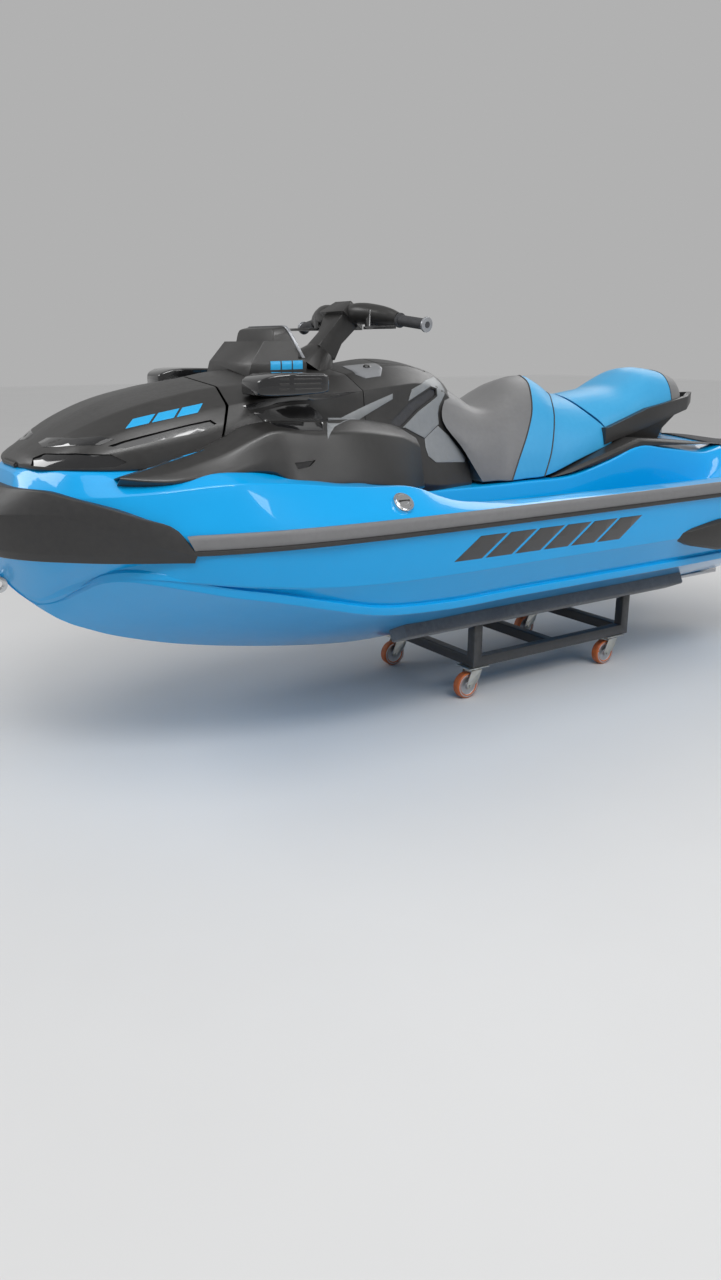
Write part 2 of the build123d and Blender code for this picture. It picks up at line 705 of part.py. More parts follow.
# Seats: x, foot (y, z), flank (y, z), shoulder (y, z), centre z
SEAT_FRONT = [
    (CONSOLE_REAR_X, (250, 790), (225, 930), (165, 1040), 1098),
    (-20, (252, 790), (215, 930), (160, 1025), 1068),
    (-85, (254, 790), (212, 930), (160, 1020), 1058),
    (-150, (255, 790), (214, 940), (165, 1040), 1092),
    (-250, (256, 790), (220, 960), (165, 1075), 1155),
    (-345, (256, 800), (220, 975), (158, 1088), 1162),
    (-450, (250, 830), (218, 968), (140, 1066), 1112),
    (-540, (240, 860), (214, 955), (130, 1050), 1089),
]
SEAT_REAR = [
    (-540, (205, 925), (200, 985), (128, 1050), 1088),
    (-680, (200, 950), (190, 1010), (135, 1075), 1102),
    (-812, (190, 980), (180, 1035), (135, 1098), 1120),
    (-850, (188, 988), (178, 1045), (130, 1120), 1158),
    (-930, (182, 1004), (172, 1062), (120, 1140), 1180),
    (-1060, (165, 1030), (158, 1075), (110, 1135), 1170),
    (-1165, (140, 1048), (132, 1080), (90, 1100), 1128),
]


def seat(rows, *below):
    faces = []
    for x, foot, flank, shoulder, centre in rows:
        crown = (shoulder[0] * SEAT_CROWN_Y, centre - (centre - shoulder[1]) * SEAT_CROWN_DROP)
        faces.append(half_section(x, [(0, foot[1]), foot, flank, shoulder, crown, (0, centre)]))
    body = skin(faces)
    for carrier in below:
        body -= carrier
    return largest(body)


# Rear trim under the seats: x, outer y, top z
TRIM = [
    (-300, 258, 800), (-500, 285, 862), (-713, 305, 925), (-831, 305, 917), (-1254, 300, 876),
    (-1300, 280, 868)]
TRIM_DEPTH = 70.0


def rear_trim(blank):
    faces = []
    for x, y, z in TRIM:
        low = z - TRIM_DEPTH
        faces.append(half_section(x, [(0, low), (y, low), (y, z - 10), (y - 14, z), (0, z)]))
    return largest(skin(faces) - blank)


# Line of the grab handle in side view: x, lower z, upper z
HANDLE_PLAN = [(-585, 226), (-617, 225), (-850, 212), (-1130, 178), (-1235, 112), (-1279, 45)]
HANDLE_THICK = 24.0
HANDLE_BAND = [
    (-585, 966), (-617, 966), (-850, 1030), (-1229, 1082), (-1285, 1070), (-1285, 1044), (-1229, 1036),
    (-942, 975), (-662, 915), (-585, 900)]


def u_plan(points, inset, front_x, rear_x):
    port = [(front_x, points[0][1] - inset)]
    port += [(x, y - inset) for x, y in points[1:-1]]
    port += [(rear_x, max(points[-1][1] - inset * 0.6, 20))]
    return port + [(x, -y) for x, y in reversed(port)]


def grab_handle(seat_body, trim):
    outer = plan_profile(u_plan(HANDLE_PLAN, 0, -600, -1279), 880, 1120)
    inner = plan_profile(u_plan(HANDLE_PLAN, HANDLE_THICK, -599, -1279 + HANDLE_THICK), 879, 1121)
    band = side_profile(HANDLE_BAND, -260, 260)
    return largest(((outer - inner) & band) - seat_body - trim)


# Base under the tail of the seat: post and tray in side view (x, z), and the tray's port edge in plan (x, y)
TAIL_POST = [(-560, 880), (-560, 960), (-850, 1030), (-1150, 1062), (-1165, 1035), (-1030, 940), (-985, 860)]
TAIL_POST_HALF = 140.0
TAIL_TRAY = [(-600, 930), (-600, 965), (-850, 1020), (-1130, 1052), (-1185, 1056), (-1185, 1040), (-850, 990)]
TAIL_EDGE = [(-600, 201), (-850, 188), (-1130, 154), (-1185, 116)]


def tail_base(seat_body, front_seat, handle, trim, blank):
    post = side_profile(TAIL_POST, -TAIL_POST_HALF, TAIL_POST_HALF)
    tray = side_profile(TAIL_TRAY, -HALF_BEAM, HALF_BEAM)
    tray &= plan_profile(TAIL_EDGE + [(x, -y) for x, y in reversed(TAIL_EDGE)], BOND_Z, COWL_TOP_Z)
    return largest((post + tray) - seat_body - front_seat - handle - trim - blank)


def tow_eye(trim, blank):
    block = box(-1165, -1035, -32, 32, 850, 934)
    hole = rod((-1110, -40, 916), (-1110, 40, 916), 8)
    return largest(block - hole - trim - blank)


# Mats: port footwell mat in plan, and the port edge of the platform mat (x, y)
MAT_THICK = 6.0
WELL_MAT = [(395, 330), (395, 462), (300, 490), (-680, 490), (-680, 325), (-600, 312), (60, 312)]
PLATFORM_MAT = [(-1220, 330), (-1500, 360), (-1640, 350), (-1690, 300)]


def footwell_mat():
    return plan_profile(WELL_MAT, WELL_FLOOR_Z, WELL_FLOOR_Z + MAT_THICK)


def platform_mat(blank, trim):
    area = plan_profile(PLATFORM_MAT + [(x, -y) for x, y in reversed(PLATFORM_MAT)], BOND_Z, WELL_TOP_Z)
    return largest(((Pos(0, 0, MAT_THICK) * blank) & area) - blank - trim)


# Sponson, port: x, outer y, foot z, top z
SPONSON = [
    (-618, 575, 582, 612), (-700, 598, 552, 622), (-850, 608, 522, 640), (-1300, 606, 520, 640),
    (-1370, 590, 540, 625)]
SPONSON_INNER_Y = 520.0


def sponson(hull_body):
    rows = []
    for x, y, low, high in SPONSON:
        rows.append(side_section(x, [(SPONSON_INNER_Y, low), (y - 8, low), (y, low + 10), (y, high - 12),
                                     (y - 14, high), (SPONSON_INNER_Y, high)]))
    return largest(skin(rows) - hull_body)


# Ride plate: rear end, rib line and how far the ribs hang below it
PLATE_REAR_X = -1590.0
PLATE_RIB_Y = 90.0
PLATE_RIB_DEPTH = 14.0


def ride_plate():
    foot = PLATE_Z - PLATE_THICK
    plate = box(PLATE_REAR_X, TUNNEL_FRONT_X, -PLATE_HALF, PLATE_HALF, foot, PLATE_Z)
    for side in (1, -1):
        rib = side * PLATE_RIB_Y
        low = foot - PLATE_RIB_DEPTH
        plate += box(PLATE_REAR_X + 30, TUNNEL_FRONT_X - 60, rib - 4, rib + 4, low, foot + 6)
        rear, outer = PLATE_REAR_X - 1, side * (PLATE_HALF + 5)
        plate -= plan_profile([(rear, side * 70), (rear, outer), (rear + 90, outer)], low, PLATE_Z + 1)
    return plate


# Intake grate: foot and top of its bars, their ends, and their places across the duct
GRATE_Z = (240.0, 258.0)
GRATE_X = (-1186.0, -934.0)
GRATE_BARS = (-52, -26, 0, 26, 52)


def intake_grate(duct):
    rear, front = GRATE_X
    frame = box(rear, rear + 36, -INTAKE_HALF, INTAKE_HALF, GRATE_Z[0], GRATE_Z[1] + 4)
    for y in GRATE_BARS:
        frame += box(rear + 26, front - 2, y - 5, y + 5, *GRATE_Z)
    frame += box(front - 16, front, -INTAKE_HALF, INTAKE_HALF, *GRATE_Z)
    return largest(frame - duct)


def pump_housing():
    outer = rod((PUMP_FRONT_X, 0, PUMP_Z), (PUMP_REAR_X + 50, 0, PUMP_Z), PUMP_BORE_R + PUMP_WALL)
    flange = rod((PUMP_FRONT_X, 0, PUMP_Z), (PUMP_FRONT_X - 14, 0, PUMP_Z), TUNNEL_HALF - 6)
    venturi = Plane(origin=(PUMP_REAR_X + 50, 0, PUMP_Z), z_dir=(-1, 0, 0)) * Cone(
        PUMP_BORE_R + PUMP_WALL, VENTURI_R, 50, align=(Align.CENTER, Align.CENTER, Align.MIN))
    venturi += rod((PUMP_REAR_X, 0, PUMP_Z), (VENTURI_END_X, 0, PUMP_Z), VENTURI_R)
    bore = rod((PUMP_FRONT_X + 1, 0, PUMP_Z), (PUMP_REAR_X + 50, 0, PUMP_Z), PUMP_BORE_R)
    throat = Plane(origin=(PUMP_REAR_X + 50.5, 0, PUMP_Z), z_dir=(-1, 0, 0)) * Cone(
        PUMP_BORE_R, VENTURI_R - NOZZLE_WALL, 50.5, align=(Align.CENTER, Align.CENTER, Align.MIN))
    throat += rod((PUMP_REAR_X, 0, PUMP_Z), (VENTURI_END_X - 1, 0, PUMP_Z), VENTURI_R - NOZZLE_WALL)
    body = outer + flange + venturi - bore - throat
    for side in (1, -1):
        body += rod((BUCKET_X, side * (VENTURI_R + 6), PUMP_Z),
                    (BUCKET_X, side * (BUCKET_HALF + 8), PUMP_Z), BUCKET_PIN_R)
        body += rod((NOZZLE_PIVOT_X, 0, PUMP_Z + side * (VENTURI_R - 2)),
                    (NOZZLE_PIVOT_X, 0, PUMP_Z + side * (VENTURI_R + NOZZLE_SWING + NOZZLE_WALL + 4)),
                    NOZZLE_PIN_R)
    foot = box(PUMP_REAR_X + 60, PUMP_FRONT_X - 2, -40, 40, PLATE_Z, PUMP_Z - PUMP_BORE_R - 2)
    return largest(body + foot)


# Stator behind the impeller: hub ends, hub radius, vane thickness and count
STATOR_X = (-1330.0, -1435.0)
STATOR_HUB_R = 28.0
VANE_THICK = 6.0
VANE_COUNT = 6
SHAFT_SEAT = 50.0


def pump_stator():
    front, rear = STATOR_X
    body = rod((front, 0, PUMP_Z), (rear, 0, PUMP_Z), STATOR_HUB_R)
    for index in range(VANE_COUNT):
        vane = box(rear + 10, front - 10, -VANE_THICK / 2, VANE_THICK / 2,
                   PUMP_Z + SHAFT_R + 6, PUMP_Z + PUMP_BORE_R)
        body += vane.rotate(Axis((0, 0, PUMP_Z), (1, 0, 0)), index * 360 / VANE_COUNT)
    body &= rod((front, 0, PUMP_Z), (rear, 0, PUMP_Z), PUMP_BORE_R - SEAT_GAP)
    return largest(body - rod((front + 1, 0, PUMP_Z), (front - SHAFT_SEAT, 0, PUMP_Z), SHAFT_R + PIN_CLEAR))


def impeller():
    body = rod((-1225, 0, PUMP_Z), (-1318, 0, PUMP_Z), 30)
    body += rod((SHAFT_FRONT_X, 0, PUMP_Z), (-1372, 0, PUMP_Z), SHAFT_R)
    for index in range(4):
        blade = box(-1312, -1232, -2.5, 2.5, PUMP_Z + 22, PUMP_Z + PUMP_BORE_R - 6)
        blade = blade.rotate(Axis((-1272, 0, PUMP_Z), (0, 0, 1)), 38)
        body += blade.rotate(Axis((0, 0, PUMP_Z), (1, 0, 0)), index * 90)
    return largest(body & rod((-960, 0, PUMP_Z), (-1380, 0, PUMP_Z), PUMP_BORE_R - 5.5))


def steering_nozzle():
    inner = VENTURI_R + NOZZLE_SWING
    start = Plane(origin=(NOZZLE_FRONT_X, 0, PUMP_Z), z_dir=(-1, 0, 0))
    on_foot = (Align.CENTER, Align.CENTER, Align.MIN)
    shell = start * Cone(inner + NOZZLE_WALL, NOZZLE_R, NOZZLE_LENGTH, align=on_foot)
    core = start * Cone(inner, NOZZLE_R - NOZZLE_WALL, NOZZLE_LENGTH, align=on_foot)
    body = shell - core
    for side in (1, -1):
        foot, top = PUMP_Z + side * inner, PUMP_Z + side * (inner + NOZZLE_WALL)
        body += box(NOZZLE_FRONT_X - 6, NOZZLE_PIVOT_X + NOZZLE_LUG_HALF, -NOZZLE_LUG_HALF, NOZZLE_LUG_HALF,
                    min(foot, top), max(foot, top))
        body -= rod((NOZZLE_PIVOT_X, 0, foot - side * 4), (NOZZLE_PIVOT_X, 0, top + side * 4),
                    NOZZLE_PIN_R + PIN_CLEAR)
    return body


def reverse_bucket():
    inner = BUCKET_HALF - BUCKET_WALL
    ring = rod((BUCKET_X, -BUCKET_HALF, PUMP_Z), (BUCKET_X, BUCKET_HALF, PUMP_Z), BUCKET_R)
    ring -= rod((BUCKET_X, -inner, PUMP_Z), (BUCKET_X, inner, PUMP_Z), BUCKET_R - BUCKET_WALL)
    low, high = radians(28), radians(86)
    far = BUCKET_R + 40
    wedge = side_profile([
        (BUCKET_X + 14, PUMP_Z - 6), (BUCKET_X - far * cos(low), PUMP_Z + far * sin(low)),
        (BUCKET_X - far, PUMP_Z + far), (BUCKET_X - far * cos(high), PUMP_Z + far * sin(high)),
        (BUCKET_X + 14, PUMP_Z + 30)], -BUCKET_HALF, BUCKET_HALF)
    body = ring & wedge
    for side in (1, -1):
        body += rod((BUCKET_X, side * BUCKET_HALF, PUMP_Z), (BUCKET_X, side * inner, PUMP_Z),
                    2 * BUCKET_PIN_R)
        body -= rod((BUCKET_X, side * (BUCKET_HALF + 4), PUMP_Z), (BUCKET_X, side * (inner - 4), PUMP_Z),
                    BUCKET_PIN_R + PIN_CLEAR)
    return largest(body)


# Boarding ladder folded under the platform
LADDER_X = -1688.0
LADDER_Z = 738.0
LADDER_HALF = 130.0
LADDER_REACH = 190.0
LADDER_R = 10.0
LADDER_PIN_R = 5.0
LADDER_BOSS_HALF = 14.0
LADDER_EAR = 20.0


def boarding_ladder():
    path = FilletPolyline(
        (LADDER_X, LADDER_HALF, LADDER_Z), (LADDER_X + LADDER_REACH, LADDER_HALF, LADDER_Z),
        (LADDER_X + LADDER_REACH, -LADDER_HALF, LADDER_Z), (LADDER_X, -LADDER_HALF, LADDER_Z), radius=32)
    body = sweep(Plane(origin=path @ 0, z_dir=path % 0) * Circle(LADDER_R), path=path)
    end = LADDER_X + LADDER_REACH
    body += box(end - 30, end - 2, -80, 80, LADDER_Z - 5, LADDER_Z + 5)
    for side in (1, -1):
        near, far = side * LADDER_HALF - LADDER_BOSS_HALF, side * LADDER_HALF + LADDER_BOSS_HALF
        body += rod((LADDER_X, near, LADDER_Z), (LADDER_X, far, LADDER_Z), LADDER_R)
        body -= rod((LADDER_X, near - 2, LADDER_Z), (LADDER_X, far + 2, LADDER_Z), LADDER_PIN_R + PIN_CLEAR)
    return body


def ladder_brackets():
    solids = []
    for side in (1, -1):
        middle = side * LADDER_HALF
        reach = LADDER_EAR + 2
        body = rod((LADDER_X, middle - reach, LADDER_Z), (LADDER_X, middle + reach, LADDER_Z), LADDER_PIN_R)
        for centre in (middle - LADDER_EAR, middle + LADDER_EAR):
            body += box(LADDER_X - 12, LADDER_X + 12, centre - 4, centre + 4, LADDER_Z - 10, BOND_Z)
        solids.append(body.solid())
    return Compound(solids)


# Lifting and tie-down eyes: outer and hole radius, half their thickness
EYE_R = 24.0
EYE_HOLE_R = 11.0
EYE_HALF = 6.0


def eye(x, z, hull_body, y=0.0):
    ring = rod((x, y - EYE_HALF, z), (x, y + EYE_HALF, z), EYE_R)
    ring -= rod((x, y - EYE_HALF - 1, z), (x, y + EYE_HALF + 1, z), EYE_HOLE_R)
    return largest(ring - hull_body)


BOW_EYE = (1662.0, 604.0)
STERN_EYE = (-1488.0, 640.0)
STERN_EYE_Y = 400.0


def stern_eyes(hull_body):
    return both_sides(eye(STERN_EYE[0], STERN_EYE[1], hull_body, STERN_EYE_Y))


FUEL_CAP = Vector(625.0, 573.0, 828.0)
FUEL_CAP_R = 30.0
FUEL_CAP_OUT = Vector(0, 0.69, 0.724)


def fuel_cap(blank):
    out = FUEL_CAP_OUT.normalized()
    body = rod(FUEL_CAP - out * 24, FUEL_CAP + out * 10, FUEL_CAP_R)
    body += rod(FUEL_CAP - out * 10, FUEL_CAP + out * 6, FUEL_CAP_R + 4)
    return largest(body - blank)


def engine_block():
    length, width, height = ENGINE_SIZE
    return box(ENGINE_X - length / 2, ENGINE_X + length / 2, -width / 2, width / 2,
               ENGINE_FOOT_Z, ENGINE_FOOT_Z + height)


def bunk():
    lean = Vector(0, cos(DEADRISE_ANGLE), sin(DEADRISE_ANGLE))
    down = Vector(0, sin(DEADRISE_ANGLE), -cos(DEADRISE_ANGLE))
    top = Vector(BUNK_REAR_X, BUNK_Y, KEEL_Z + DEADRISE * BUNK_Y)
    corners = [top - lean * (BUNK_WIDTH / 2), top + lean * (BUNK_WIDTH / 2)]
    corners += [corners[1] + down * BUNK_THICK, corners[0] + down * BUNK_THICK]
    return extrude(Face(Wire.make_polygon(corners)), amount=BUNK_FRONT_X - BUNK_REAR_X, dir=(1, 0, 0))


# Cart frame: the posts' places, the side rails' line and top, and the posts' full height before they are cut
POST_X = (50.0, -745.0)
RAIL_Y = 252.0
FRAME_TOP_Z = CASTER_TOP_Z + TUBE
POST_TOP_Z = 340.0


def cart_frame():
    half = TUBE / 2
    front, rear = POST_X
    body = None
    for side in (1, -1):
        inner, outer = side * RAIL_Y - half, side * RAIL_Y + half
        rail = box(rear - half, front + half, inner, outer, CASTER_TOP_Z, FRAME_TOP_Z)
        body = rail if body is None else body + rail
        for x in (front, rear):
            body += box(x - half, x + half, inner, outer, CASTER_TOP_Z, POST_TOP_Z)
    for x in (front, (front + rear) / 2, rear):
        body += box(x - half, x + half, -RAIL_Y, RAIL_Y, CASTER_TOP_Z, FRAME_TOP_Z)
    # The posts end on the slope of the bunks' undersides.
    under = KEEL_Z - BUNK_THICK / cos(DEADRISE_ANGLE)
    inner, outer = RAIL_Y - 2 * TUBE, RAIL_Y + 2 * TUBE
    slope = Face(Wire.make_polygon([
        (BUNK_REAR_X, inner, under + DEADRISE * inner), (BUNK_REAR_X, outer, under + DEADRISE * outer),
        (BUNK_REAR_X, outer, BOND_Z), (BUNK_REAR_X, inner, BOND_Z)]))
    above = extrude(slope, amount=BUNK_FRONT_X - BUNK_REAR_X, dir=(1, 0, 0))
    return largest(body - above - other_side(above))


def caster_places():
    middle = CART_X - CASTER_TRAIL
    for end, x in (("front", middle + WHEELBASE / 2), ("rear", middle - WHEELBASE / 2)):
        for side, y in (("left", CART_TRACK / 2), ("right", -CART_TRACK / 2)):
            yield f"{end}_{side}", x, y


# Casters: fork top, inner face and thickness of its legs, axle and swivel pin radius, plate size
FORK_TOP_Z = CASTER_TOP_Z - 14.0
LEG_Y = CASTER_WIDTH / 2 + 6.0
LEG_THICK = 3.0
AXLE_R = 6.0
SWIVEL_R = 6.0
PLATE_LENGTH = 96.0
PLATE_WIDTH = 80.0
RACE_R = 26.0


def caster_plate(x, y):
    plate = box(x - PLATE_LENGTH / 2, x + PLATE_LENGTH / 2, y - PLATE_WIDTH / 2, y + PLATE_WIDTH / 2,
                CASTER_TOP_Z - 4, CASTER_TOP_Z)
    plate += rod((x, y, FORK_TOP_Z + SEAT_GAP), (x, y, CASTER_TOP_Z), RACE_R)
    return plate - rod((x, y, FORK_TOP_Z - 2), (x, y, CASTER_TOP_Z + 1), SWIVEL_R + PIN_CLEAR)


def caster_fork(x, y):
    wheel_x = x + CASTER_TRAIL
    outline = [
        (x - 24, FORK_TOP_Z), (x + 26, FORK_TOP_Z), (wheel_x + 16, 58), (wheel_x + 12, 40),
        (wheel_x - 12, 40), (x - 12, 74)]
    outer = LEG_Y + LEG_THICK
    body = box(x - 24, x + 26, y - outer, y + outer, FORK_TOP_Z - 4, FORK_TOP_Z)
    body += side_profile(outline, y + LEG_Y, y + outer)
    body += side_profile(outline, y - outer, y - LEG_Y)
    body += rod((wheel_x, y - outer - 5, CASTER_R), (wheel_x, y + outer + 5, CASTER_R), AXLE_R)
    body += rod((x, y, FORK_TOP_Z - 1), (x, y, CASTER_TOP_Z - 2), SWIVEL_R)
    return body


def caster_wheel(x, y):
    wheel_x = x + CASTER_TRAIL
    half = CASTER_WIDTH / 2
    bore = AXLE_R + PIN_CLEAR
    profile = [
        (bore, -half - 3), (14, -half - 3), (14, -half + 4), (34, -half + 4), (38, -half), (46, -half),
        (CASTER_R, -half + 5), (CASTER_R, half - 5), (46, half), (38, half), (34, half - 4), (14, half - 4),
        (14, half + 3), (bore, half + 3)]
    face = Plane.XZ * make_face(Polyline(*profile, close=True))
    wheel = revolve(face, Axis.Z)
    return Pos(wheel_x, y, CASTER_R) * (Rot(90, 0, 0) * wheel)


def build():
    hull_form = hull_blank()
    hull_body = hull(hull_form)
    blank = deck_blank()
    bumper = bow_bumper(hull_form, blank)
    hood_body = front_hood(blank)
    fairing_form = cowl(FAIRING, blank, FAIRING_DROP)
    console_form = cowl(CONSOLE, blank, COWL_DROP)
    panel = side_panel(blank, fairing_form)
    pod = mirror_pod(fairing_form, panel)
    trim = rear_trim(blank)
    front_seat = seat(SEAT_FRONT, blank, trim)
    rear_seat = seat(SEAT_REAR, blank, trim)
    handle = grab_handle(rear_seat, trim) - front_seat
    stem = steering_stem()
    bar = handlebar()
    bunk_body = bunk()
    sponson_body = sponson(hull_body)
    shapes = {
        "hull": hull_body,
        "jet_duct": jet_duct(hull_form),
        "deck": deck(blank),
        "bin_tub": bin_tub(),
        "rub_rail": rub_rail(hull_form, blank, bumper),
        "bow_bumper": bumper,
        "front_hood": hood_body,
        "fairing": largest(fairing_form - inside(FAIRING, COWL_WALL, FAIRING_DROP)),
        "console": console(console_form),
        "glovebox_lid": glovebox_lid(console_form),
        "side_panels": both_sides(panel),
        "mirrors": both_sides(pod),
        "gauge_hood": gauge_hood(fairing_form),
        "gauge_rim": largest(gauge_rim()),
        "gauge_display": gauge_display(),
        "steering_neck": steering_neck((fairing_form, console_form)),
        "steering_stem": stem,
        "handlebar": bar,
        "handlebar_pad": handlebar_pad(bar, stem),
        "hand_levers": Compound([(lever(s) + lever_clamp(s, bar)).solid() for s in (1, -1)]),
        "seat_front": front_seat,
        "seat_rear": rear_seat,
        "rear_trim": trim,
        "grab_handle": largest(handle),
        "tail_base": tail_base(rear_seat, front_seat, handle, trim, blank),
        "tow_eye": tow_eye(trim, blank),
        "footwell_trays": both_sides(footwell_tray()),
        "footwell_mats": both_sides(footwell_mat()),
        "platform_mat": platform_mat(blank, trim),
        "sponsons": both_sides(sponson_body),
        "ride_plate": ride_plate(),
        "intake_grate": intake_grate(jet_duct(hull_form)),
        "pump_housing": pump_housing(),
        "pump_stator": pump_stator(),
        "impeller": impeller(),
        "steering_nozzle": steering_nozzle(),
        "reverse_bucket": reverse_bucket(),
        "boarding_ladder": boarding_ladder(),
        "ladder_brackets": ladder_brackets(),
        "bow_eye": eye(BOW_EYE[0], BOW_EYE[1], hull_body),
        "stern_eyes": stern_eyes(hull_body),
        "fuel_cap": fuel_cap(blank),
        "engine_block": engine_block(),
        "cart_frame": cart_frame(),
        "bunks": both_sides(bunk_body),
    }
    plates = [caster_plate(x, y) for _, x, y in caster_places()]
    shapes["caster_plates"] = Compound([plate.solid() for plate in plates])
    for name, x, y in caster_places():
        shapes[f"caster_fork_{name}"] = caster_fork(x, y)
        shapes[f"caster_wheel_{name}"] = caster_wheel(x, y)
    return shapes


if __name__ == "__main__":
    for name, shape in build().items():
        export_step(shape, f"parts/{name}.step")
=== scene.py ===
import json
import math

import bmesh
import bpy
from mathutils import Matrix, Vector
from mathutils.bvhtree import BVHTree

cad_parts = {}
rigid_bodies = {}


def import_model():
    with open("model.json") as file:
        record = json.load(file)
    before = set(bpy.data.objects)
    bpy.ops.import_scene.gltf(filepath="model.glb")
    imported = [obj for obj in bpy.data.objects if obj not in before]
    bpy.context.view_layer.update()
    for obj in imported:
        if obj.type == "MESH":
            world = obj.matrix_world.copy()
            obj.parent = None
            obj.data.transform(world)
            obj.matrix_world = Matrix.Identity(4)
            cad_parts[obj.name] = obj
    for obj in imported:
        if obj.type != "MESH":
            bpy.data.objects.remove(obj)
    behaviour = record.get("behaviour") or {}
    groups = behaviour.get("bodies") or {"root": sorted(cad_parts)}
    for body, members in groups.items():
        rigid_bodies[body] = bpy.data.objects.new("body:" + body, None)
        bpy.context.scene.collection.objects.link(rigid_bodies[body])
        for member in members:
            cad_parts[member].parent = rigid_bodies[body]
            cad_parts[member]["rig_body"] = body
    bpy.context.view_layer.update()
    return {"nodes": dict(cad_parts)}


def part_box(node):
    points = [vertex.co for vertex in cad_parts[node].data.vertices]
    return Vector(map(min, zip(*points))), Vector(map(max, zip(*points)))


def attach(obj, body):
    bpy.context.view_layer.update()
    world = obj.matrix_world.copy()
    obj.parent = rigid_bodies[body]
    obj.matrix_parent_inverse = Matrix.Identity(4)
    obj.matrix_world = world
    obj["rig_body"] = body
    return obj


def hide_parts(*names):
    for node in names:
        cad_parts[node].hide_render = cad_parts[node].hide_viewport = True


# A three-seat personal watercraft on its steel display cart.
# Metres. +X is forward, +Y is port, +Z is up.

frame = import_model()
NODES = frame["nodes"]


# Small geometry helpers

def lerp(a, b, t):
    return a + (b - a) * t


def smooth_line(points, spacing):
    """A smooth curve through every point, sampled about every spacing."""
    points = [Vector(p) for p in points]
    knots = [0.0]
    for a, b in zip(points, points[1:]):
        knots.append(knots[-1] + max((b - a).length, 1e-6))
    line = []
    for i in range(len(points) - 1):
        steps = max(1, math.ceil((knots[i + 1] - knots[i]) / spacing))
        for k in range(steps):
            line.append(hermite(points, knots, i, k / steps))
    return line + [points[-1]]


def slope(points, knots, i):
    last = len(points) - 1
    if i == 0:
        return (points[1] - points[0]) / (knots[1] - knots[0])
    if i == last:
        return (points[last] - points[last - 1]) / (knots[last] - knots[last - 1])
    before = (points[i] - points[i - 1]) / (knots[i] - knots[i - 1])
    after = (points[i + 1] - points[i]) / (knots[i + 1] - knots[i])
    weight = (knots[i] - knots[i - 1]) / (knots[i + 1] - knots[i - 1])
    return before * (1 - weight) + after * weight


def hermite(points, knots, i, t):
    run = knots[i + 1] - knots[i]
    start = slope(points, knots, i) * run
    end = slope(points, knots, i + 1) * run
    a, b = points[i], points[i + 1]
    return (a * (2 * t ** 3 - 3 * t ** 2 + 1) + start * (t ** 3 - 2 * t ** 2 + t)
            + b * (-2 * t ** 3 + 3 * t ** 2) + end * (t ** 3 - t ** 2))


def stations(rows, spacing):
    """Rows of control points, with smooth in-between rows added."""
    rows = [[Vector(p) for p in row] for row in rows]
    knots = [0.0]
    for a, b in zip(rows, rows[1:]):
        step = sum((q - p).length for p, q in zip(a, b)) / len(a)
        knots.append(knots[-1] + max(step, 1e-5))
    columns = list(zip(*rows))
    out = []
    for i in range(len(rows) - 1):
        steps = max(1, min(24, math.ceil((knots[i + 1] - knots[i]) / spacing)))
        for k in range(steps):
            out.append([hermite(column, knots, i, k / steps) for column in columns])
    return out + [rows[-1]]


def rounded(points, softness, straights, bends):
    """A polyline whose inner corners are eased by their softness."""
    line = [points[0]]
    for i in range(1, len(points) - 1):
        a, p, b = points[i - 1], points[i], points[i + 1]
        back, ahead = a - p, b - p
        cut_back = min(softness[i - 1], back.length * 0.48)
        cut_ahead = min(softness[i - 1], ahead.length * 0.48)
        start = p + back.normalized() * cut_back if back.length > 1e-9 else p.copy()
        end = p + ahead.normalized() * cut_ahead if ahead.length > 1e-9 else p.copy()
        origin = line[-1]
        for k in range(1, straights + 1):
            line.append(lerp(origin, start, k / straights))
        for k in range(1, bends + 1):
            t = k / bends
            line.append(start * (1 - t) ** 2 + p * 2 * t * (1 - t) + end * t ** 2)
    origin = line[-1]
    for k in range(1, straights + 1):
        line.append(lerp(origin, points[-1], k / straights))
    return line


def woven(bm, lines, closed_ring=False):
    """Quads between neighbouring lines. Returns the vertices, line by line, and each line's faces."""
    verts = [[bm.verts.new(p) for p in line] for line in lines]
    bands = []
    for a, b in zip(verts, verts[1:]):
        band = []
        count = len(a) if closed_ring else len(a) - 1
        for j in range(count):
            k = (j + 1) % len(a)
            band.append(bm.faces.new((a[j], b[j], b[k], a[k])))
        bands.append(band)
    return verts, bands


def cap(bm, ring):
    """Closes an end. A half ring that stops short of the middle plane is closed along it."""
    ends = (ring[0], ring[-1])
    if min(abs(v.co.y) for v in ends) < 1e-6 < max(abs(v.co.y) for v in ends):
        off = max(ends, key=lambda v: abs(v.co.y))
        foot = bm.verts.new((off.co.x, 0.0, off.co.z))
        ring = ring + [foot] if off is ring[-1] else [foot] + ring
    bm.faces.new(ring)


def mirrored(bm):
    copy = bmesh.ops.duplicate(bm, geom=bm.verts[:] + bm.edges[:] + bm.faces[:])
    for item in copy["geom"]:
        if isinstance(item, bmesh.types.BMVert):
            item.co.y = -item.co.y
    bmesh.ops.reverse_faces(bm, faces=[f for f in copy["geom"] if isinstance(f, bmesh.types.BMFace)])


def as_object(bm, name, weld=2e-5):
    bmesh.ops.remove_doubles(bm, verts=bm.verts, dist=weld)
    bmesh.ops.dissolve_degenerate(bm, edges=bm.edges, dist=1e-6)
    bmesh.ops.recalc_face_normals(bm, faces=bm.faces)
    mesh = bpy.data.meshes.new(name)
    bm.to_mesh(mesh)
    bm.free()
    obj = bpy.data.objects.new(name, mesh)
    bpy.context.scene.collection.objects.link(obj)
    return obj


def settle(obj):
    """Applies the modifiers of an object to its mesh."""
    graph = bpy.context.evaluated_depsgraph_get()
    mesh = bpy.data.meshes.new_from_object(obj.evaluated_get(graph), preserve_all_data_layers=True,
                                           depsgraph=graph)
    obj.modifiers.clear()
    old = obj.data
    obj.data = mesh
    bpy.data.meshes.remove(old)


